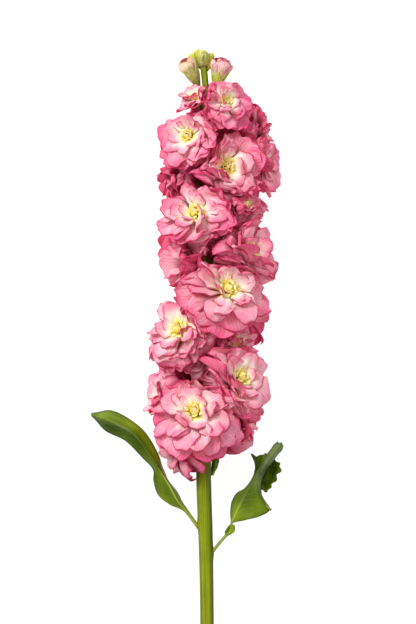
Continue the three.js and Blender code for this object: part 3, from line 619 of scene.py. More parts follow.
def petal_middle(floret, petals, u, v):
    """Middle surface of petals, u from -1 to 1 across and v from 0 at the root to 1 at the tip.
    The midline opens out of the throat along one arc and turns on along a flatter one. Half width
    grows from the claw to the limb. The lift off it is a cup, -cup u^2, and a fold along the
    midline, with ruffles that grow towards the margin as v^2 sin(waves u), and a rolled margin."""
    u_abs = np.abs(u)
    phase = petals["phase"]
    notch = petals["notch"] * np.exp(-(u / NOTCH_WIDTH) ** 2) * v**4
    frill = FRILL * np.sin(7 * u + phase) * v**6
    length = petals["length"] * v * (1 - TIP_ROUNDING * u_abs**TIP_ROUNDING_POWER - notch + frill)
    bend = BEND_SHARE * petals["length"]
    opened = (petals["tip"] - THROAT_ANGLE) * np.minimum(1, length / bend)
    run, rise = arc(np.minimum(length, bend), THROAT_ANGLE, opened)
    limb = np.maximum(length - bend, 0)
    curl = petals["curl"] * limb / (petals["length"] - bend)
    limb_run, limb_rise = arc(limb, THROAT_ANGLE + opened, curl)
    slope = THROAT_ANGLE + opened + curl
    half = petals["half"] * (CLAW_WIDTH + (1 - CLAW_WIDTH) * np.minimum(1, v / WIDEST_AT) ** 1.2)
    half = half * (1 - TIP_NARROWING * rise_between(0.62, 1, v))
    side = half * u
    growth = v**2 * (0.3 + 0.7 * u**2)
    ruffle = petals["ruffled"] * RUFFLE * growth * np.sin(np.pi * petals["waves"] * u + phase)
    side_wave = np.sin(9 * v + 3 * phase + 1.6 * np.sign(u))
    ruffle = ruffle + SIDE_RUFFLE * u_abs**3 * v * side_wave
    crumple = CRUMPLE * np.sin(5 * u + 2 * phase) * np.sin(6 * v + phase)
    crumple = crumple + FINE_CRUMPLE * np.sin(9 * u + phase) * np.sin(11 * v + 2 * phase) * v
    rolled = MARGIN_ROLL * (1 - (1 - u_abs**6) * (1 - v**9)) * v
    lift = petals["half"] * (ruffle + crumple - rolled) - PETAL_CUP * petals["cup"] * half * u**2
    lift = lift + petals["fold"] * half * (np.sqrt(u**2 + FOLD_SOFTNESS**2) - FOLD_SOFTNESS)
    out = np.cos(petals["azimuth"])[..., None] * floret["across"]
    out = out + np.sin(petals["azimuth"])[..., None] * floret["up"]
    sideways = np.cross(floret["facing"], out)
    upper = np.sin(slope)[..., None] * floret["facing"] - np.cos(slope)[..., None] * out
    roll = petals["roll"]
    opening_out = ROOT_RADIUS * floret["radius"] + run + limb_run
    return (
        floret["foot"]
        + opening_out[..., None] * out
        + (petals["root"] + rise + limb_rise)[..., None] * floret["facing"]
        + (side * np.cos(roll))[..., None] * sideways
        + (lift + side * np.sin(roll))[..., None] * upper
    )


def soft_over(value, softness):
    """Smooth stand-in for the larger of a value and 0: softness ln(1 + e^(value / softness))."""
    return softness * np.logaddexp(0, value / softness)


def press(floret, points, planes, inset):
    """Moves petals clear of the stem, of the neighbours' planes and of the surface that the plant
    lies on: softly first, so that they bend and slide outwards, and then exactly. In between, none
    stays further from the floret's foot than a multiple of its spread. The inset keeps each petal
    back from the planes by its own small distance, so that pressed petals lie on one another."""
    away = (points - stem_at(points[..., 1])) * [1, 0, 1]
    distance = np.linalg.norm(away, axis=-1)
    least = along(STEM_CLEARANCE, points[..., 1])[..., 0]
    kept = least + soft_over(distance - least, PRESS_SOFTNESS)
    points = points + unit(away) * (kept - distance)[..., None]
    for base, normal, slide in planes:
        over = (points - base) @ normal + inset
        back = over + soft_over(-over, PRESS_SOFTNESS)
        points = points - back[..., None] * (normal - PRESS_SLIDE * slide)
    limit = SPREAD_LIMIT * floret["spread"]
    spread = points - floret["foot"]
    distance = np.linalg.norm(spread, axis=-1)
    kept = limit - soft_over(limit - distance, SPREAD_SOFTNESS * limit)
    points = floret["foot"] + unit(spread) * kept[..., None]
    for _ in range(PRESS_PASSES):
        for base, normal, _ in planes:
            over = np.maximum((points - base) @ normal + inset, 0)
            points = points - over[..., None] * normal
    ground = -PLANT_ORIGIN[2] + PETAL_THICKNESS
    points[..., 2] = ground + soft_over(points[..., 2] - ground, GROUND_SOFTNESS)
    return points


def thin_blades(middle, thickness):
    """Closes grids of middle points, shaped blades by rows by columns, into thin bodies: half of
    the thickness out along the normal on both faces, and a band along the margin."""
    count, rows, columns = middle.shape[:3]
    normal = unit(np.cross(np.gradient(middle, axis=1), np.gradient(middle, axis=2)))
    offset = normal * (thickness / 2)[..., None]
    points = np.stack([middle + offset, middle - offset], axis=1)
    grid = np.arange(rows * columns).reshape(rows, columns)
    upper = np.stack([grid[:-1, :-1], grid[1:, :-1], grid[1:, 1:], grid[:-1, 1:]], axis=-1)
    upper = upper.reshape(-1, 4)
    margin = np.concatenate([grid[:-1, 0], grid[-1, :-1], grid[:0:-1, -1], grid[0, :0:-1]])
    onward = np.roll(margin, -1)
    under = grid.size
    band = np.stack([onward, margin, margin + under, onward + under], axis=-1)
    faces = np.concatenate([upper, upper[:, ::-1] + under, band])
    faces = faces + np.arange(count)[:, None, None] * 2 * grid.size
    return points, faces.reshape(-1, 4)


def bloom(floret, whorls, grid):
    """All petals of a floret as one body of points, faces, places and marks: which are inner ones,
    a chance value for each petal, which face is the upper one, how high up the spike it grows, and
    a painted shade for what lies deep between the florets, near the stem. A petal is thin at its
    margin, by 1 - (1 - |u|^8) (1 - v^12)."""
    rows, columns = grid
    u = np.linspace(-1, 1, columns)[None, None, :]
    v = np.linspace(0, 1, rows)[None, :, None]
    planes = pressing_planes(floret)
    paleness = 1.0 if abs(floret["turn"]) < PALE_TURN else SIDE_PALENESS
    young = YOUNG_PALENESS * (floret["radius"] < YOUNG_RADIUS)
    edge = 1 - (1 - np.abs(u) ** 8) * (1 - v**12)
    thickness = PETAL_THICKNESS + (MARGIN_THICKNESS - PETAL_THICKNESS) * edge
    points, faces, places, inner, chance, upper = [], [], [], [], [], []
    total = 0
    for w, whorl in whorls:
        petals = petals_of(floret, whorl, w)
        shape = (whorl["count"], rows, columns)
        middle = petal_middle(floret, petals, u, v)
        wavering = 0.5 + 0.5 * np.sin(5 * u + 4 * v + petals["phase"])
        inset = PRESS_CLEARANCE + whorl["stack"] + IMBRICATION * wavering + petals["held"]
        middle = press(floret, middle, planes, inset * np.ones(shape))
        blades, blade_faces = thin_blades(middle, thickness * np.ones(shape))
        points.append(blades.reshape(-1, 3))
        faces.append(blade_faces + total)
        both = (whorl["count"], 2, rows, columns)
        across_along = [np.broadcast_to(a, both) for a in ((u[:, None] + 1) / 2, v[:, None])]
        places.append(np.stack(across_along, axis=-1).reshape(-1, 2))
        inner.append(np.full(np.prod(both), young + paleness * max(w, 0) / (len(WHORLS) - 1)))
        chances = draw(floret["seed"], KEYS_A_WHORL * w + np.arange(whorl["count"]) + CHANCE_KEY)
        chance.append(np.broadcast_to(chances[:, None, None, None], both).ravel())
        upper.append(np.broadcast_to([[[1.0]], [[0.0]]], both).ravel())
        total += blades.size // 3
    points = np.concatenate(points)
    distance = np.linalg.norm((points - stem_at(points[:, 1])) * [1, 0, 1], axis=-1)
    sunk = 1 - rise_between(*CREVICE_SHADE_DISTANCES, distance / floret["reach"])
    sunk = sunk * (floret["height"] < TOP_FLORETS)
    high = np.clip((floret["height"] - RISING_HEIGHTS[0]) / np.ptp(RISING_HEIGHTS), 0, 1)
    marks = {"inner": inner, "chance": chance, "upper": upper}
    marks = {word: np.concatenate(values) for word, values in marks.items()}
    marks.update(high=np.full(total, high), sunk=sunk)
    return points, np.concatenate(faces), np.concatenate(places), marks


def across_and_way(tree, blade_place):
    """Place across a blade and way along it, each from 0 to 1."""
    split = node(tree, "ShaderNodeSeparateXYZ", {0: blade_place})
    return split.outputs["X"], split.outputs["Y"]


def petal_tissue(name, deep, light, base, throat, edge, under, depth, painted_glow_colour):
    """Petal material. Along a petal its pale base turns to the light colour and then the deeper
    one, sooner on outer petals and higher up the spike. The margin has a thin darker line, partly
    its own colour and partly painted shade under the curled margin, the underside is deeper, and
    veins fan over it. The hidden lower half of an outer petal and all that lies deep between the
    florets near the stem get a painted shade of deep red. A painted glow, a little of deep pink
    everywhere but in that painted shade and more of pale yellow in the heart, stands in for light
    passed through the thin petals."""
    material, tree, skin, place, blade_place = tissue(name, 0.6, 0.1, 0.2, (1.0, 0.32, 0.4), 0.0012)
    across, way = across_and_way(tree, blade_place)
    inner, chance, upper, high, sunk = [
        marked(tree, word) for word in ("inner", "chance", "upper", "high", "sunk")]
    patches = effect(tree, mottle_group, place, Scale=140.0, Low=0.3, High=0.7)
    veins = effect(tree, vein_group, blade_place, Count=11.0, Width=0.5, Wander=0.12)
    fine = effect(tree, mottle_group, place, Scale=900.0, Low=0.3, High=0.7)
    pinker = plus(tree, way, times(tree, minus(tree, patches, 0.5), 0.3))
    pinker = minus(tree, pinker, times(tree, inner, 0.42))
    pinker = plus(tree, pinker, times(tree, minus(tree, chance, 0.5), 0.3))
    pinker = plus(tree, pinker, times(tree, high, 0.25))
    colour = blend(tree, between(tree, pinker, 0.1, 1.3), light, deep)
    pale = minus(tree, way, times(tree, inner, 0.4))
    cream = times(tree, between(tree, pale, 0.5, 0.15), between(tree, inner, 0.2, 0.7))
    colour = blend(tree, cream, colour, base)
    heart = times(tree, between(tree, pale, 0.18, -0.1), between(tree, inner, 0.5, 0.8))
    colour = blend(tree, heart, colour, throat)
    # Painted shade in deep red: the lower half of the outer petals, under the inner ones, and the
    # parts of all but the inner petals that lie deep between the florets near the stem.
    hidden = times(tree, between(tree, way, 0.7, 0.25), between(tree, inner, 0.7, 0.3))
    sunken = times(tree, sunk, between(tree, inner, 0.66, 0.3))
    hidden = result_of(tree, "MAXIMUM", times(tree, hidden, 0.85), sunken)
    colour = blend(tree, hidden, colour, depth)
    colour = blend(tree, times(tree, veins, 0.09), colour, edge)
    # Thin darker line along the margin: partly the petal's own edge colour, partly painted shade under
    # the curled margin.
    centred = result_of(tree, "ABSOLUTE", minus(tree, across, 0.5))
    side_line = between(tree, centred, 0.452, 0.495)
    tip_line = between(tree, way, 0.93, 0.99)
    line = result_of(tree, "MAXIMUM", times(tree, side_line, between(tree, way, 0.35, 0.6)), tip_line)
    colour = blend(tree, times(tree, line, 0.85), colour, edge)
    below = times(tree, minus(tree, 1.0, upper), between(tree, way, 0.15, 0.5))
    colour = blend(tree, times(tree, below, 0.65), colour, under)
    # Painted glow: the petals give off the painted glow colour, and the throat colour in the heart,
    # but nothing in the painted shade.
    glow = blend(tree, hidden, blend(tree, heart, painted_glow_colour, throat), (0, 0, 0, 1))
    tree.links.new(glow, skin.inputs["Emission Color"])
    skin.inputs["Emission Strength"].default_value = 0.15
    height = plus(tree, times(tree, fine, 0.3), veins)
    cover(tree, skin, colour, 0.7, 0.0004, height)
    return material


# Depth is the deep red of the painted shade, and the painted glow colour is what the petals give off.
petal_material = petal_tissue(
    "pink_petal", deep=tint(240, 100, 144), light=tint(254, 202, 209), base=tint(255, 244, 226),
    throat=tint(255, 238, 140), edge=tint(180, 20, 74), under=tint(216, 56, 104),
    depth=tint(140, 4, 44), painted_glow_colour=tint(178, 40, 80))


def whorls_of(floret):
    """Numbered whorls of a floret: all of them in front, fewer at the sides and at the back, and
    a few of broad petals in the loose florets. One that faces away has a whorl bent back as well,
    numbered -1, which hides its calyx."""
    if floret["node"] in BROAD_FLORETS:
        return [(BROAD_NUMBERING * w, whorl) for w, whorl in enumerate(BROAD_WHORLS)]
    turned = abs(floret["turn"])
    if turned < FRONT_TURN:
        return list(enumerate(WHORLS))
    if turned < SIDE_TURN:
        return [(-1, REFLEXED_WHORL)] + list(enumerate(WHORLS))
    chosen = SIDE_WHORLS if turned < BACK_TURN else BACK_WHORLS
    return [(-1, REFLEXED_WHORL)] + [(w, WHORLS[w]) for w in chosen]


for floret in FLORETS:
    grid = FRONT_GRID if abs(floret["turn"]) < BACK_TURN else BACK_GRID
    points, faces, places, marks = bloom(floret, whorls_of(floret), grid)
    petals = plant_mesh(
        "petals_" + floret["node"], points, faces.tolist(), petal_material, places, marks)
    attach(petals, "root")
    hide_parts("floret_" + floret["node"])


# Tufts: the heart of each floret is a tuft of small curled petals, cream at the tip and yellow
# green in the throat, where the stamens of a single flower would be.
TUFT_WHORLS = rows_of(
    "count length half tip curl root stack",
    (8, 0.3, 0.1, 40, 50, 0.38, 3.4),
    (7, 0.26, 0.085, 14, 50, 0.42, 3.4),
    (6, 0.24, 0.075, -22, 20, 0.45, 3.4),
    (4, 0.22, 0.07, -50, 10, 0.47, 3.4),
)
TUFT_GRID = (10, 7)
OPEN_TUFT = 0.88
HIDDEN_TUFT = 0.5
HIDDEN_DROP = 0.2

tuft_material, tree, skin, place, blade_place = tissue(
    "tuft_petal", 0.55, 0.12, 0.3, (1.0, 0.8, 0.3), 0.002, 0.1)
across, way = across_and_way(tree, blade_place)
patches = effect(tree, mottle_group, place, Scale=300.0, Low=0.3, High=0.7)
colour = blend(tree, between(tree, way, 0.08, 0.5), tint(122, 128, 12), tint(252, 230, 84))
colour = blend(tree, between(tree, way, 0.5, 1.0), colour, tint(255, 244, 186))
colour = blend(tree, times(tree, patches, 0.25), colour, tint(226, 190, 60))
blush = times(tree, between(tree, marked(tree, "chance"), 0.6, 1.0), between(tree, way, 0.6, 1.0))
colour = blend(tree, times(tree, blush, 0.6), colour, tint(246, 190, 180))
cover(tree, skin, colour, 0.3, 0.0002, patches)
# Painted glow: the tuft gives off a little of its own colour.
tree.links.new(colour, skin.inputs["Emission Color"])
skin.inputs["Emission Strength"].default_value = 0.05

for floret in FLORETS:
    hidden = abs(floret["turn"]) > SIDE_TURN or floret["node"] in BROAD_FLORETS
    size = (HIDDEN_TUFT if hidden else OPEN_TUFT) * floret["radius"] / floret["spread"]
    whorls = [
        (w, dict(whorl, length=size * whorl["length"], half=size * whorl["half"],
                 root=whorl["root"] - HIDDEN_DROP * hidden))
        for w, whorl in enumerate(TUFT_WHORLS, len(WHORLS))]
    points, faces, places, marks = bloom(floret, whorls, TUFT_GRID)
    tuft = plant_mesh("tuft_" + floret["node"], points, faces.tolist(), tuft_material, places, marks)
    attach(tuft, "root")
    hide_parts("centre_" + floret["node"])


# Leaves: long wavy blades with a thick pale midrib and a thin margin, each growing from the stem
# on a flat stalk. The left one has a twist halfway, the right one is folded and curled over.
LEFT_LEAF = np.array([
    [[-5.2, 106.6, -0.3], [-4.8, 107.4, 0.4], [-4.4, 108.2, -0.3]],
    [[-13.6, 117.2, -0.2], [-12.9, 118.4, 0.8], [-11.9, 119.2, -0.4]],
    [[-22, 121.4, -1], [-17.4, 123.6, 1.6], [-15.6, 124.8, -1.8]],
    [[-30, 128, -2], [-22.2, 132.4, 2.6], [-20.3, 132.6, -3.4]],
    [[-32, 136, 0], [-26, 138.6, 3.6], [-24.4, 138.2, -3]],
    [[-32.4, 142.4, 2.4], [-29, 143.4, 5], [-26.2, 143.6, -0.6]],
    [[-38.2, 149.8, 5], [-34, 151.2, 7], [-29.8, 153, 2.4]],
    [[-48.8, 159.9, 6], [-44, 164.4, 8], [-39.6, 168.4, 3]],
    [[-60.6, 165.9, 0.6], [-58.2, 172.2, 2.6], [-56.2, 177.4, -3.6]],
    [[-69.6, 174, -9.5], [-69.8, 175.2, -9], [-69.8, 176.4, -10.5]],
])
RIGHT_LEAF = np.array([
    [[2.6, 93.4, 0.0], [3.0, 92.9, 0.8], [3.4, 92.4, 0.0]],
    [[6.4, 98.5, 0.2], [6.9, 98.0, 1.0], [7.4, 97.6, 0.2]],
    [[10.4, 103.2, 0.4], [11.0, 102.8, 1.2], [11.7, 102.3, 0.4]],
    [[10.7, 106.2, 2.4], [13.3, 106.0, 0.6], [16.4, 105.4, 2.2]],
    [[12.5, 108.6, 2.0], [14.5, 108.6, 0.8], [16.8, 109.0, 2.4]],
    [[14.0, 110.4, 0.4], [14.7, 110.6, 1.2], [15.5, 110.6, 0.6]],
    [[14.4, 115.4, -0.4], [16.6, 114.8, 1.4], [23.6, 112.7, 2.6]],
    [[14.6, 123.4, -1.2], [19.8, 122.0, 1.6], [31.6, 114.9, 3.8]],
    [[17.4, 128.3, -1.4], [22.5, 127.0, 1.8], [37.6, 118.8, 4.4]],
    [[23.4, 130.6, 0.2], [25.8, 133.4, 2.0], [34.4, 124.2, 5.4]],
    [[26.8, 136.2, 1.2], [28.8, 139.0, 1.6], [32.2, 131.0, 4.6]],
    [[28.5, 142.4, 2.0], [30.9, 142.7, 1.0], [32.6, 138.0, 3.4]],
    [[28.0, 147.3, 3.4], [33.0, 146.6, 0.4], [34.6, 143.6, 1.6]],
    [[26.4, 151.8, 4.8], [34.4, 151.6, 0.2], [38.4, 149.4, 0.4]],
])
ROLLED_MARGIN = np.array([
    [[37.9, 118.4, 4.4], [38.2, 118.8, 4.6], [38.4, 119.2, 4.2]],
    [[34.2, 122.9, 5.2], [35.9, 122.4, 6.6], [36.9, 121.1, 5.4]],
    [[30.3, 129.8, 6.4], [31.5, 129.3, 8.0], [32.6, 128.3, 6.6]],
    [[29.9, 137.6, 6.8], [31.2, 137.2, 8.8], [32.4, 136.4, 6.8]],
    [[31.8, 144.8, 6.4], [33.6, 143.8, 8.8], [35.3, 142.1, 6.0]],
    [[35.7, 152.0, 4.8], [37.8, 150.4, 7.4], [39.9, 148.4, 4.2]],
    [[39.6, 157.1, 2.8], [42.0, 155.6, 5.4], [44.4, 153.8, 2.4]],
    [[42.2, 159.4, 1.4], [44.4, 158.6, 3.0], [46.2, 157.2, 1.2]],
])
BACK_LOBE = np.array([
    [[34.2, 129.4, -0.6], [35.4, 129.2, -0.8], [36.4, 129.6, -0.6]],
    [[32.4, 131.4, -1.4], [35.8, 131.4, -2.6], [38.2, 132.0, -0.4]],
    [[32.1, 135.4, -2.0], [36.4, 135.2, -4.0], [40.4, 135.4, 0.8]],
    [[33.0, 140.6, -2.4], [37.8, 140.2, -4.6], [43.0, 140.0, 1.4]],
    [[35.4, 145.4, -2.0], [39.6, 144.8, -4.2], [44.2, 144.2, 0.6]],
    [[37.2, 148.4, -0.6], [40.2, 147.8, -2.6], [42.7, 146.8, 0.6]],
    [[38.8, 149.6, 0.8], [39.6, 149.2, 0.4], [40.4, 148.6, 0.8]],
])
SMALL_LEAF = np.array([
    [[2.4, 139, -2.6], [3, 139, -2], [3.6, 139, -2.6]],
    [[2.6, 145, -3.6], [4.8, 145, -2.8], [6.6, 144.6, -4.6]],
    [[3.4, 150.6, -4.6], [5.6, 150.6, -4], [7.4, 150.4, -6]],
    [[5, 156.4, -6.2], [5.6, 156.6, -6], [6.2, 156.4, -6.6]],
])
LEAF_GRID = (100, 31)
# Each blade's share of stalk and of pale midrib, how dark it is, by painted shade and partly by
# its darker upper face, and how high it waves in millimetres, once near its margins and once at
# its torn end.
LEAVES = rows_of(
    "name node rows stalk rib shade wave torn",
    ("left_blade", "leaf_left", LEFT_LEAF, 0.22, 1.0, 0.75, 0.5, 0.0),
    ("right_blade", "leaf_right", RIGHT_LEAF, 0.3, 1.0, 0.5, 0.9, 0.9),
    ("right_roll", "leaf_right", ROLLED_MARGIN, 0.0, 0.0, 0.0, 0.5, 0.5),
    ("right_lobe", "leaf_right", BACK_LOBE, 0.0, 0.2, 1.0, 1.4, 0.0),
    ("small_blade", "leaf_small", SMALL_LEAF, 0.2, 0.5, 0.8, 0.3, 0.0),
)
LEAF_THICKNESS = 0.5
LEAF_STALK_THICKNESS = 1.3
MIDRIB_THICKNESS = 0.6
MIDRIB_WIDTH = 0.1
MARGIN_THINNING = 0.6
WAVES_ALONG = 30
WAVING_WIDTH = 12
TORN_FROM = 0.84
TORN_WAY = [0.2, 1.0, 0.6]
LEAF_SHADED_FROM = 0.42

leaf_material, tree, skin, place, blade_place = tissue(
    "leaf_blade", 0.36, 0.16, 0.12, (0.4, 0.8, 0.15), 0.0015)
across, way = across_and_way(tree, blade_place)
centred = result_of(tree, "ABSOLUTE", minus(tree, across, 0.5))
patches = effect(tree, mottle_group, place, Scale=60.0, Low=0.3, High=0.7)
fine = effect(tree, mottle_group, place, Scale=500.0, Low=0.3, High=0.7)
slanted = node(tree, "ShaderNodeCombineXYZ", {
    0: minus(tree, way, times(tree, centred, 0.25)), 1: centred,
}).outputs[0]
side_veins = effect(tree, vein_group, slanted, Count=22.0, Width=0.3, Wander=0.03)
midrib = between(tree, centred, 0.05, 0.012)
shade, rib, grey = [marked(tree, word) for word in ("shade", "rib", "grey")]
colour = blend(tree, patches, tint(92, 118, 2), tint(132, 152, 12))
# Shade mark: painted shade, partly also the darker upper face, towards dark green.
colour = blend(tree, shade, colour, blend(tree, patches, tint(34, 52, 4), tint(64, 80, 12)))
colour = blend(tree, times(tree, fine, 0.2), colour, tint(66, 84, 14))
colour = blend(tree, times(tree, side_veins, 0.12), colour, tint(138, 154, 40))
colour = blend(tree, times(tree, midrib, rib), colour, tint(176, 190, 92))
colour = blend(tree, grey, colour, blend(tree, patches, tint(48, 64, 24), tint(112, 128, 74)))
colour = blend(tree, between(tree, way, 0.2, 0.0), colour, tint(154, 166, 66))
# Painted shade: darker towards the margins, above the stalk.
margin_shade = times(tree, between(tree, centred, 0.28, 0.5), between(tree, way, 0.2, 0.4))
colour = blend(tree, times(tree, margin_shade, 0.45), colour, tint(48, 64, 6))
margin = between(tree, centred, 0.465, 0.49)
colour = blend(tree, times(tree, margin, 0.85), colour, tint(34, 44, 6))
colour = blend(tree, between(tree, way, 0.022, 0.008), colour, tint(132, 70, 40))
cover(tree, skin, colour, 0.4, 0.0003, minus(tree, times(tree, fine, 0.3), side_veins))


def blade_surface(rows, steps, columns):
    """Middle surface of a leaf at even steps from its foot to its tip and from margin to margin,
    by cubic pieces through its rows, first lengthwise and then across."""
    count, width = rows.shape[:2]
    table = np.column_stack([np.linspace(0, 1, count), rows.reshape(count, -1)])
    lengthwise = along(table, np.linspace(0, 1, steps)).reshape(steps, width, 3).transpose(1, 0, 2)
    table = np.column_stack([np.linspace(0, 1, width), lengthwise.reshape(width, -1)])
    return along(table, np.linspace(0, 1, columns)).reshape(columns, steps, 3).transpose(1, 0, 2)


for leaf in LEAVES:
    steps, columns = LEAF_GRID
    middle = blade_surface(leaf["rows"], steps, columns)[None]
    u = np.linspace(-1, 1, columns)[None, None, :]
    v = np.linspace(0, 1, steps)[None, :, None]
    normal = unit(np.cross(np.gradient(middle, axis=1), np.gradient(middle, axis=2)))
    width = np.linalg.norm(middle[:, :, -1:] - middle[:, :, :1], axis=-1)
    wave = leaf["wave"] * np.minimum(1, width / WAVING_WIDTH) * u**2
    wave = wave * np.sin(WAVES_ALONG * v + 3 * np.sign(u))
    torn = leaf["torn"] * rise_between(TORN_FROM, 1, v) * (np.sin(5 * u + 1) + 0.4 * np.sin(13 * u))
    middle = middle + wave[..., None] * normal + torn[..., None] * TORN_WAY
    stalk = 1 - rise_between(0, max(leaf["stalk"], 0.01), v)
    rib = leaf["rib"] * np.exp(-(u / MIDRIB_WIDTH) ** 2) * (1 - v)
    thickness = LEAF_THICKNESS + (LEAF_STALK_THICKNESS - LEAF_THICKNESS) * stalk
    thickness = (thickness + MIDRIB_THICKNESS * rib) * (1 - MARGIN_THINNING * u**8)
    points, faces = thin_blades(middle, thickness)
    both = np.ones((2, steps, columns))
    places = np.stack([(u + 1) / 2 * both, v * both], axis=-1)
    # Shade mark, painted shade and in part the darker upper face: stronger from LEAF_SHADED_FROM along
    # the blade, where the left leaf twists, darker towards one margin, and in soft bands.
    farther = 0.35 + 0.65 * rise_between(LEAF_SHADED_FROM, 0.56, v)
    painted_shade_pattern = farther * rise_between(1.2, -0.8, u) + 0.35 * np.sin(11 * v + 4 * u)
    blade_shade = np.clip(leaf["shade"] * painted_shade_pattern, 0, 1)
    blade_rib = 0.85 * leaf["rib"] * (1 - 0.85 * rise_between(LEAF_SHADED_FROM, 0.6, v))
    blade = plant_mesh(leaf["name"], points, faces.tolist(), leaf_material, places, {
        "shade": blade_shade * both, "rib": blade_rib * both,
        "grey": float(leaf["name"] == "right_roll") * both})
    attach(blade, "root")
    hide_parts(leaf["node"])


# Green buds: the tip of the spike ends in a cluster of closed buds, each an egg of four sepals
# whose seams show as grooves. The largest has a dull purple band at its foot.
GREEN_BUDS = rows_of(
    "foot top radius",
    ([-2.2, 383, 0], [-2.6, 394.6, 1], 3.6),
    ([-3.4, 384.5, -0.6], [-5.2, 395, -1], 2.5),
    ([-3.2, 383.5, -2.4], [-9, 392.4, -6.4], 2.6),
    ([-1.4, 383.5, -1.8], [1.2, 392.6, -3.4], 2.5),
    ([-0.8, 383, -1], [2.2, 391.6, -5], 2.2),
    ([-3.0, 385, -2.5], [-11.0, 392.0, -3], 2.6),
    ([-2.6, 386, -0.6], [-7.0, 394.6, -0.6], 2.4),
    ([-0.6, 384, -1.5], [3.4, 393.0, -1.2], 2.2),
    ([-0.4, 382, -1.6], [3.2, 389.4, -2], 2.0),
)
GREEN_BUD_OUTLINE = np.array([
    [0, 0.42], [0.12, 0.6], [0.3, 0.78], [0.6, 1], [0.85, 0.86], [0.96, 0.5], [1, 0.14],
])
BUD_STEPS = 24
BUD_SIDES = 24
SEPALS = 4
GROOVE_DEPTH = 0.16
GROOVE_MEAN = 1.06

green_bud_material, tree, skin, place, blade_place = tissue(
    "green_bud", 0.5, 0.14, 0.15, (0.5, 0.8, 0.2), 0.0015)
across, way = across_and_way(tree, blade_place)
chance = marked(tree, "chance")
patches = effect(tree, mottle_group, place, Scale=400.0, Low=0.3, High=0.7)
colour = blend(tree, patches, tint(150, 164, 30), tint(200, 200, 76))
colour = blend(tree, chance, colour, blend(tree, patches, tint(156, 164, 82), tint(210, 206, 132)))
stripes = effect(tree, vein_group, blade_place, Count=13.0, Width=0.7, Wander=0.2)
stripes = times(tree, stripes, times(tree, chance, 0.75))
colour = blend(tree, stripes, colour, tint(92, 106, 50))
colour = blend(tree, times(tree, between(tree, way, 0.8, 1.0), 0.6), colour, tint(236, 222, 150))
seam = result_of(tree, "ABSOLUTE", result_of(tree, "SINE", times(tree, across, SEPALS * math.pi)))
colour = blend(tree, times(tree, between(tree, seam, 0.3, 0.0), 0.6), colour, tint(214, 204, 120))
band = times(tree, between(tree, way, 0.3, 0.1), between(tree, chance, 0.7, 0.9))
colour = blend(tree, times(tree, band, 0.8), colour, tint(104, 66, 60))
cover(tree, skin, colour, 0.3, 0.0002, patches)

t = np.linspace(0, 1, BUD_STEPS)
turn = np.linspace(0, 2 * np.pi, BUD_SIDES, endpoint=False)
groove = 1 + GROOVE_DEPTH * np.abs(np.cos(SEPALS / 2 * turn)) ** 0.6 * np.sin(np.pi * t)[:, None]
points, marks = [], []
for bud in GREEN_BUDS:
    foot, top = np.array(bud["foot"], float), np.array(bud["top"], float)
    path = foot + t[:, None] * (top - foot)
    radius = bud["radius"] * along(GREEN_BUD_OUTLINE, t) * groove / GROOVE_MEAN
    points.append(shoot(path, radius, BUD_SIDES, np.array([1.0, 0, 0.3])))
    marks.append(np.full((BUD_STEPS, BUD_SIDES), float(bud is GREEN_BUDS[0])))
places = np.stack(np.broadcast_arrays(turn / (2 * np.pi), t[:, None]), axis=-1)
places = np.broadcast_to(places, (len(points), *places.shape))
green_buds = plant_mesh(
    "green_buds", np.array(points), shoot_faces(BUD_STEPS, BUD_SIDES, len(points)),
    green_bud_material, places, {"chance": np.array(marks)})
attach(green_buds, "root")
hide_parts("stem")


# Opening buds: two buds below the tip have begun to open. Furled petals stand out of a cone of
# four pointed green sepals, wrapped round each other, on a short green stalk.
OPENING_BUDS = [
    {"node": "bud_left", "stalk": [-1.4, 364, 0], "foot": [-5.4, 373.4, 0.6],
     "waist": [-9, 380.4, 2.2], "top": [-14.4, 389, 4.4], "calyx": 4.0, "petals": 5.2, "grey": 0.8,
     "sepals": [[-142, 1.55], [-94, 1.78], [-44, 1.8], [60, 1.7]], "span": 0.66},
    {"node": "bud_right", "stalk": [0, 362, -0.6], "foot": [5.2, 371.6, -1.6],
     "waist": [7.2, 379.4, -1.2], "top": [9.6, 390.2, 0.6], "calyx": 4.0, "petals": 5.9, "grey": 0.1,
     "sepals": [[-10, 1.9], [80, 1.8], [170, 2.0], [-95, 1.3]], "span": 0.86},
]
# Furled petals of a bud: turn round its axis in degrees, where -90 faces up, half span in radians,
# height and radius as shares of the bud's, and how deep its colour is.
FURLED = {
    "bud_left": [
        [90, 1.5, 0.98, 0.9, 0.3], [0, 1.2, 0.94, 0.93, 0.5], [190, 1.2, 1.0, 0.95, 0.2],
        [-40, 1.1, 0.96, 1.0, 0.7], [-130, 1.3, 0.93, 1.06, 0.1],
    ],
    "bud_right": [
        [90, 1.5, 1.0, 0.95, 0.9], [10, 1.1, 0.96, 1.0, 0.6], [160, 1.2, 0.94, 1.0, 0.3],
        [40, 1.3, 0.92, 0.6, 1.0], [200, 1.4, 0.9, 0.4, 1.0], [-50, 0.9, 0.9, 0.84, 0.5],
        [-125, 0.5, 0.98, 0.62, 0.2], [-62, 0.45, 0.97, 0.58, 0.3], [-95, 0.4, 0.94, 0.76, 0.5],
        [-14, 0.8, 0.76, 1.12, 1.0], [200, 0.95, 0.88, 1.08, -1.2], [-72, 1.1, 0.9, 1.12, 0.25],
    ],
}
FURLED_OUTLINE = np.array([
    [0, 0.42], [0.3, 0.68], [0.5, 0.94], [0.66, 1.02], [0.84, 0.88], [1, 0.54], [1.1, 0.3],
])
FURLED_GRID = (22, 21)
FURLED_SUNK = 0.25
FURLED_REACH = 1.2
FURLED_FLARE = 0.03
FURLED_THICKNESS = 0.3
RIPPLE = 0.03
SEPAL_GRID = (20, 11)
SEPAL_LAYERS = [1.0, 1.06, 1.0, 1.06]
SEPAL_TAPER = 0.9
SEPAL_THICKNESS = 0.5
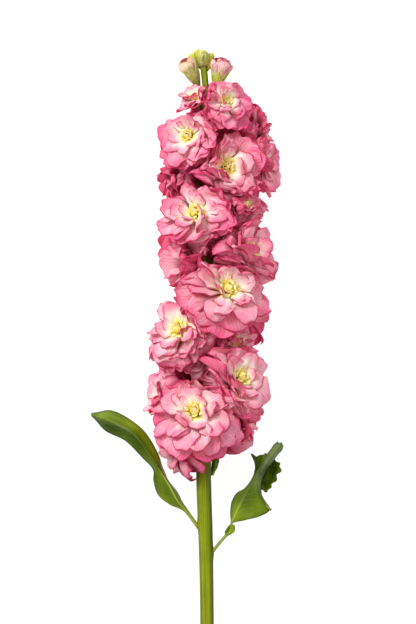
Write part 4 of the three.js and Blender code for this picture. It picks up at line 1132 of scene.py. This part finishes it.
CALYX_OUTLINE = np.array([[0, 0.28], [0.3, 0.62], [0.6, 0.88], [1, 1.14], [1.4, 1.46], [1.8, 1.6]])
BUD_STALK_REACH = 0.4
BUD_STALK_FLARE = 1.9

# For the buds too, depth is the colour of the painted shade, and the painted glow colour is what they
# give off.
bud_materials = {
    "bud_left": petal_tissue(
        "peach_bud", deep=tint(240, 176, 150), light=tint(255, 216, 190), base=tint(250, 220, 160),
        throat=tint(232, 220, 150), edge=tint(190, 104, 60), under=tint(222, 140, 104),
        depth=tint(168, 88, 44), painted_glow_colour=tint(90, 50, 30)),
    "bud_right": petal_tissue(
        "rose_bud", deep=tint(226, 132, 150), light=tint(248, 200, 192), base=tint(252, 222, 196),
        throat=tint(236, 220, 160), edge=tint(176, 62, 92), under=tint(230, 150, 160),
        depth=tint(104, 8, 36), painted_glow_colour=tint(110, 30, 44)),
}


def wrapped_blades(foot, axis, size, outline, turns, spans, heights, layers, flare, grid):
    """Blades wrapped round an axis: at v along and u across, the height is heights v (1 - 0.3
    |u|^2.6), the turn is turns + spans u width(v), and the radius follows the outline and the layer,
    with the tip and the margin flared out and a slight ripple from blade to blade."""
    rows, columns = grid
    u = np.linspace(-1, 1, columns)[None, None, :]
    v = np.linspace(0, 1, rows)[None, :, None]
    turns, spans, heights, layers = [
        np.asarray(values, float)[:, None, None] for values in (turns, spans, heights, layers)]
    length = np.linalg.norm(axis)
    way = axis / length
    first = unit(np.cross(way, [0.0, 0.0, 1.0]))
    second = np.cross(way, first)
    height = heights * v * (1 - 0.3 * np.abs(u) ** 2.6) * np.ones_like(turns)
    angle = turns + spans * u * (0.35 + 0.65 * rise_between(0, 0.5, v))
    radius = size * along(outline, height)[..., 0] * layers
    radius = radius + flare * size * (rise_between(0.6, 1, v) ** 2 + 0.5 * np.abs(u) ** 4 * v)
    radius = radius * (1 + RIPPLE * np.sin(6 * u + 4 * turns))
    return (
        foot + (height * length)[..., None] * way
        + (radius * np.cos(angle))[..., None] * first + (radius * np.sin(angle))[..., None] * second
    )


def blade_marks(chances, grid):
    """Places and marks of a stack of blades: across and along, the chance value of each blade and
    its upper face. They count as inner petals on that face, and as not high, with no painted
    crevice shade."""
    rows, columns = grid
    both = np.ones((len(chances), 2, rows, columns))
    u = np.linspace(0, 1, columns) * both
    v = np.linspace(0, 1, rows)[:, None] * both
    chance = np.array(chances)[:, None, None, None] * both
    upper = np.array([0.0, 1.0])[:, None, None] * both
    return np.stack([u, v], axis=-1), {
        "chance": chance, "upper": upper, "inner": 0.7 * upper, "high": 0 * both, "sunk": 0 * both}


for bud in OPENING_BUDS:
    start, foot, waist, top = [
        np.array(bud[word], float) for word in ("stalk", "foot", "waist", "top")]
    furls = np.array(FURLED[bud["node"]])
    middle = wrapped_blades(
        waist - FURLED_SUNK * (top - waist), FURLED_REACH * (top - waist), bud["petals"],
        FURLED_OUTLINE, np.radians(furls[:, 0]), furls[:, 1], furls[:, 2], furls[:, 3],
        FURLED_FLARE, FURLED_GRID)
    points, faces = thin_blades(middle, FURLED_THICKNESS * np.ones(middle.shape[:3]))
    places, marks = blade_marks(furls[:, 4], FURLED_GRID)
    furled = plant_mesh(
        bud["node"] + "_petals", points, faces.tolist(), bud_materials[bud["node"]], places, marks)
    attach(furled, "root")
    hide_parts(bud["node"])

    sepal_turn, sepal_height = np.array(bud["sepals"]).T
    sepal_turn = np.radians(sepal_turn)
    rows, columns = SEPAL_GRID
    middle = wrapped_blades(
        foot, waist - foot, bud["calyx"], CALYX_OUTLINE, sepal_turn, np.full(SEPALS, bud["span"]),
        sepal_height, SEPAL_LAYERS, 0.0, SEPAL_GRID)
    taper = 1 - SEPAL_TAPER * rise_between(0.45, 1, np.linspace(0, 1, rows)) ** 1.2
    centre_line = middle[:, :, columns // 2:columns // 2 + 1]
    middle = centre_line + (middle - centre_line) * taper[None, :, None, None]
    points, faces = thin_blades(middle, SEPAL_THICKNESS * np.ones(middle.shape[:3]))
    places, marks = blade_marks(np.full(SEPALS, bud["grey"]), SEPAL_GRID)
    sepals = plant_mesh(
        bud["node"] + "_sepals", points, faces.tolist(), green_bud_material, places, marks)
    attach(sepals, "root")
    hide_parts("stem")

    t = np.linspace(0, 1, BUD_STEPS)[:, None]
    path = (1 - t) * start + t * (foot + BUD_STALK_REACH * (waist - foot))
    radius = STALK_RADIUS + BUD_STALK_FLARE * rise_between(0.55, 1, t[:, 0])
    points = shoot(path, radius, BUD_SIDES, np.array([1.0, 0, 0.3]))
    places = np.stack(np.broadcast_arrays(turn / (2 * np.pi), t), axis=-1)
    bud_stalk = plant_mesh(
        bud["node"] + "_stalk", points, shoot_faces(BUD_STEPS, BUD_SIDES), stem_material, places,
        uncut_marks(points))
    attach(bud_stalk, "root")
    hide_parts("stem")


# Surface and light: a plain near-white surface under the stem, lit softly from the upper left by
# one large lamp, with white light from all round that keeps the shadows faint.
FLOOR_SIZE = 6.0
FLOOR_GREY = 0.25
FLOOR_GLOW = 0.9
LAMP_PLACE = (-0.9, 1.0, 1.5)
LAMP_SIZE = 0.9
LAMP_POWER = 33.0
SURROUNDING_LIGHT = 0.58

floor_mesh = bpy.data.meshes.new("floor")
half = FLOOR_SIZE / 2
corners = [(-half, -half, 0), (half, -half, 0), (half, half, 0), (-half, half, 0)]
floor_mesh.from_pydata(corners, [], [(0, 1, 2, 3)])
floor_material = bpy.data.materials.new("floor")
floor_material.use_nodes = True
floor_skin = floor_material.node_tree.nodes["Principled BSDF"]
floor_skin.inputs["Base Color"].default_value = (FLOOR_GREY, FLOOR_GREY, FLOOR_GREY, 1)
floor_skin.inputs["Roughness"].default_value = 0.9
floor_skin.inputs["Emission Color"].default_value = (1, 1, 1, 1)
floor_skin.inputs["Emission Strength"].default_value = FLOOR_GLOW
floor_mesh.materials.append(floor_material)
floor = bpy.data.objects.new("floor", floor_mesh)
bpy.context.scene.collection.objects.link(floor)

lamp_data = bpy.data.lights.new("lamp", "AREA")
lamp_data.shape = "DISK"
lamp_data.size = LAMP_SIZE
lamp_data.energy = LAMP_POWER
lamp = bpy.data.objects.new("lamp", lamp_data)
lamp.location = LAMP_PLACE
lamp.rotation_euler = (-mathutils.Vector(LAMP_PLACE)).to_track_quat("-Z", "Y").to_euler()
bpy.context.scene.collection.objects.link(lamp)

world = bpy.data.worlds.new("surroundings")
world.use_nodes = True
world.node_tree.nodes["Background"].inputs["Color"].default_value = (1, 1, 1, 1)
world.node_tree.nodes["Background"].inputs["Strength"].default_value = SURROUNDING_LIGHT
bpy.context.scene.world = world
bpy.context.scene.view_settings.view_transform = "Standard"
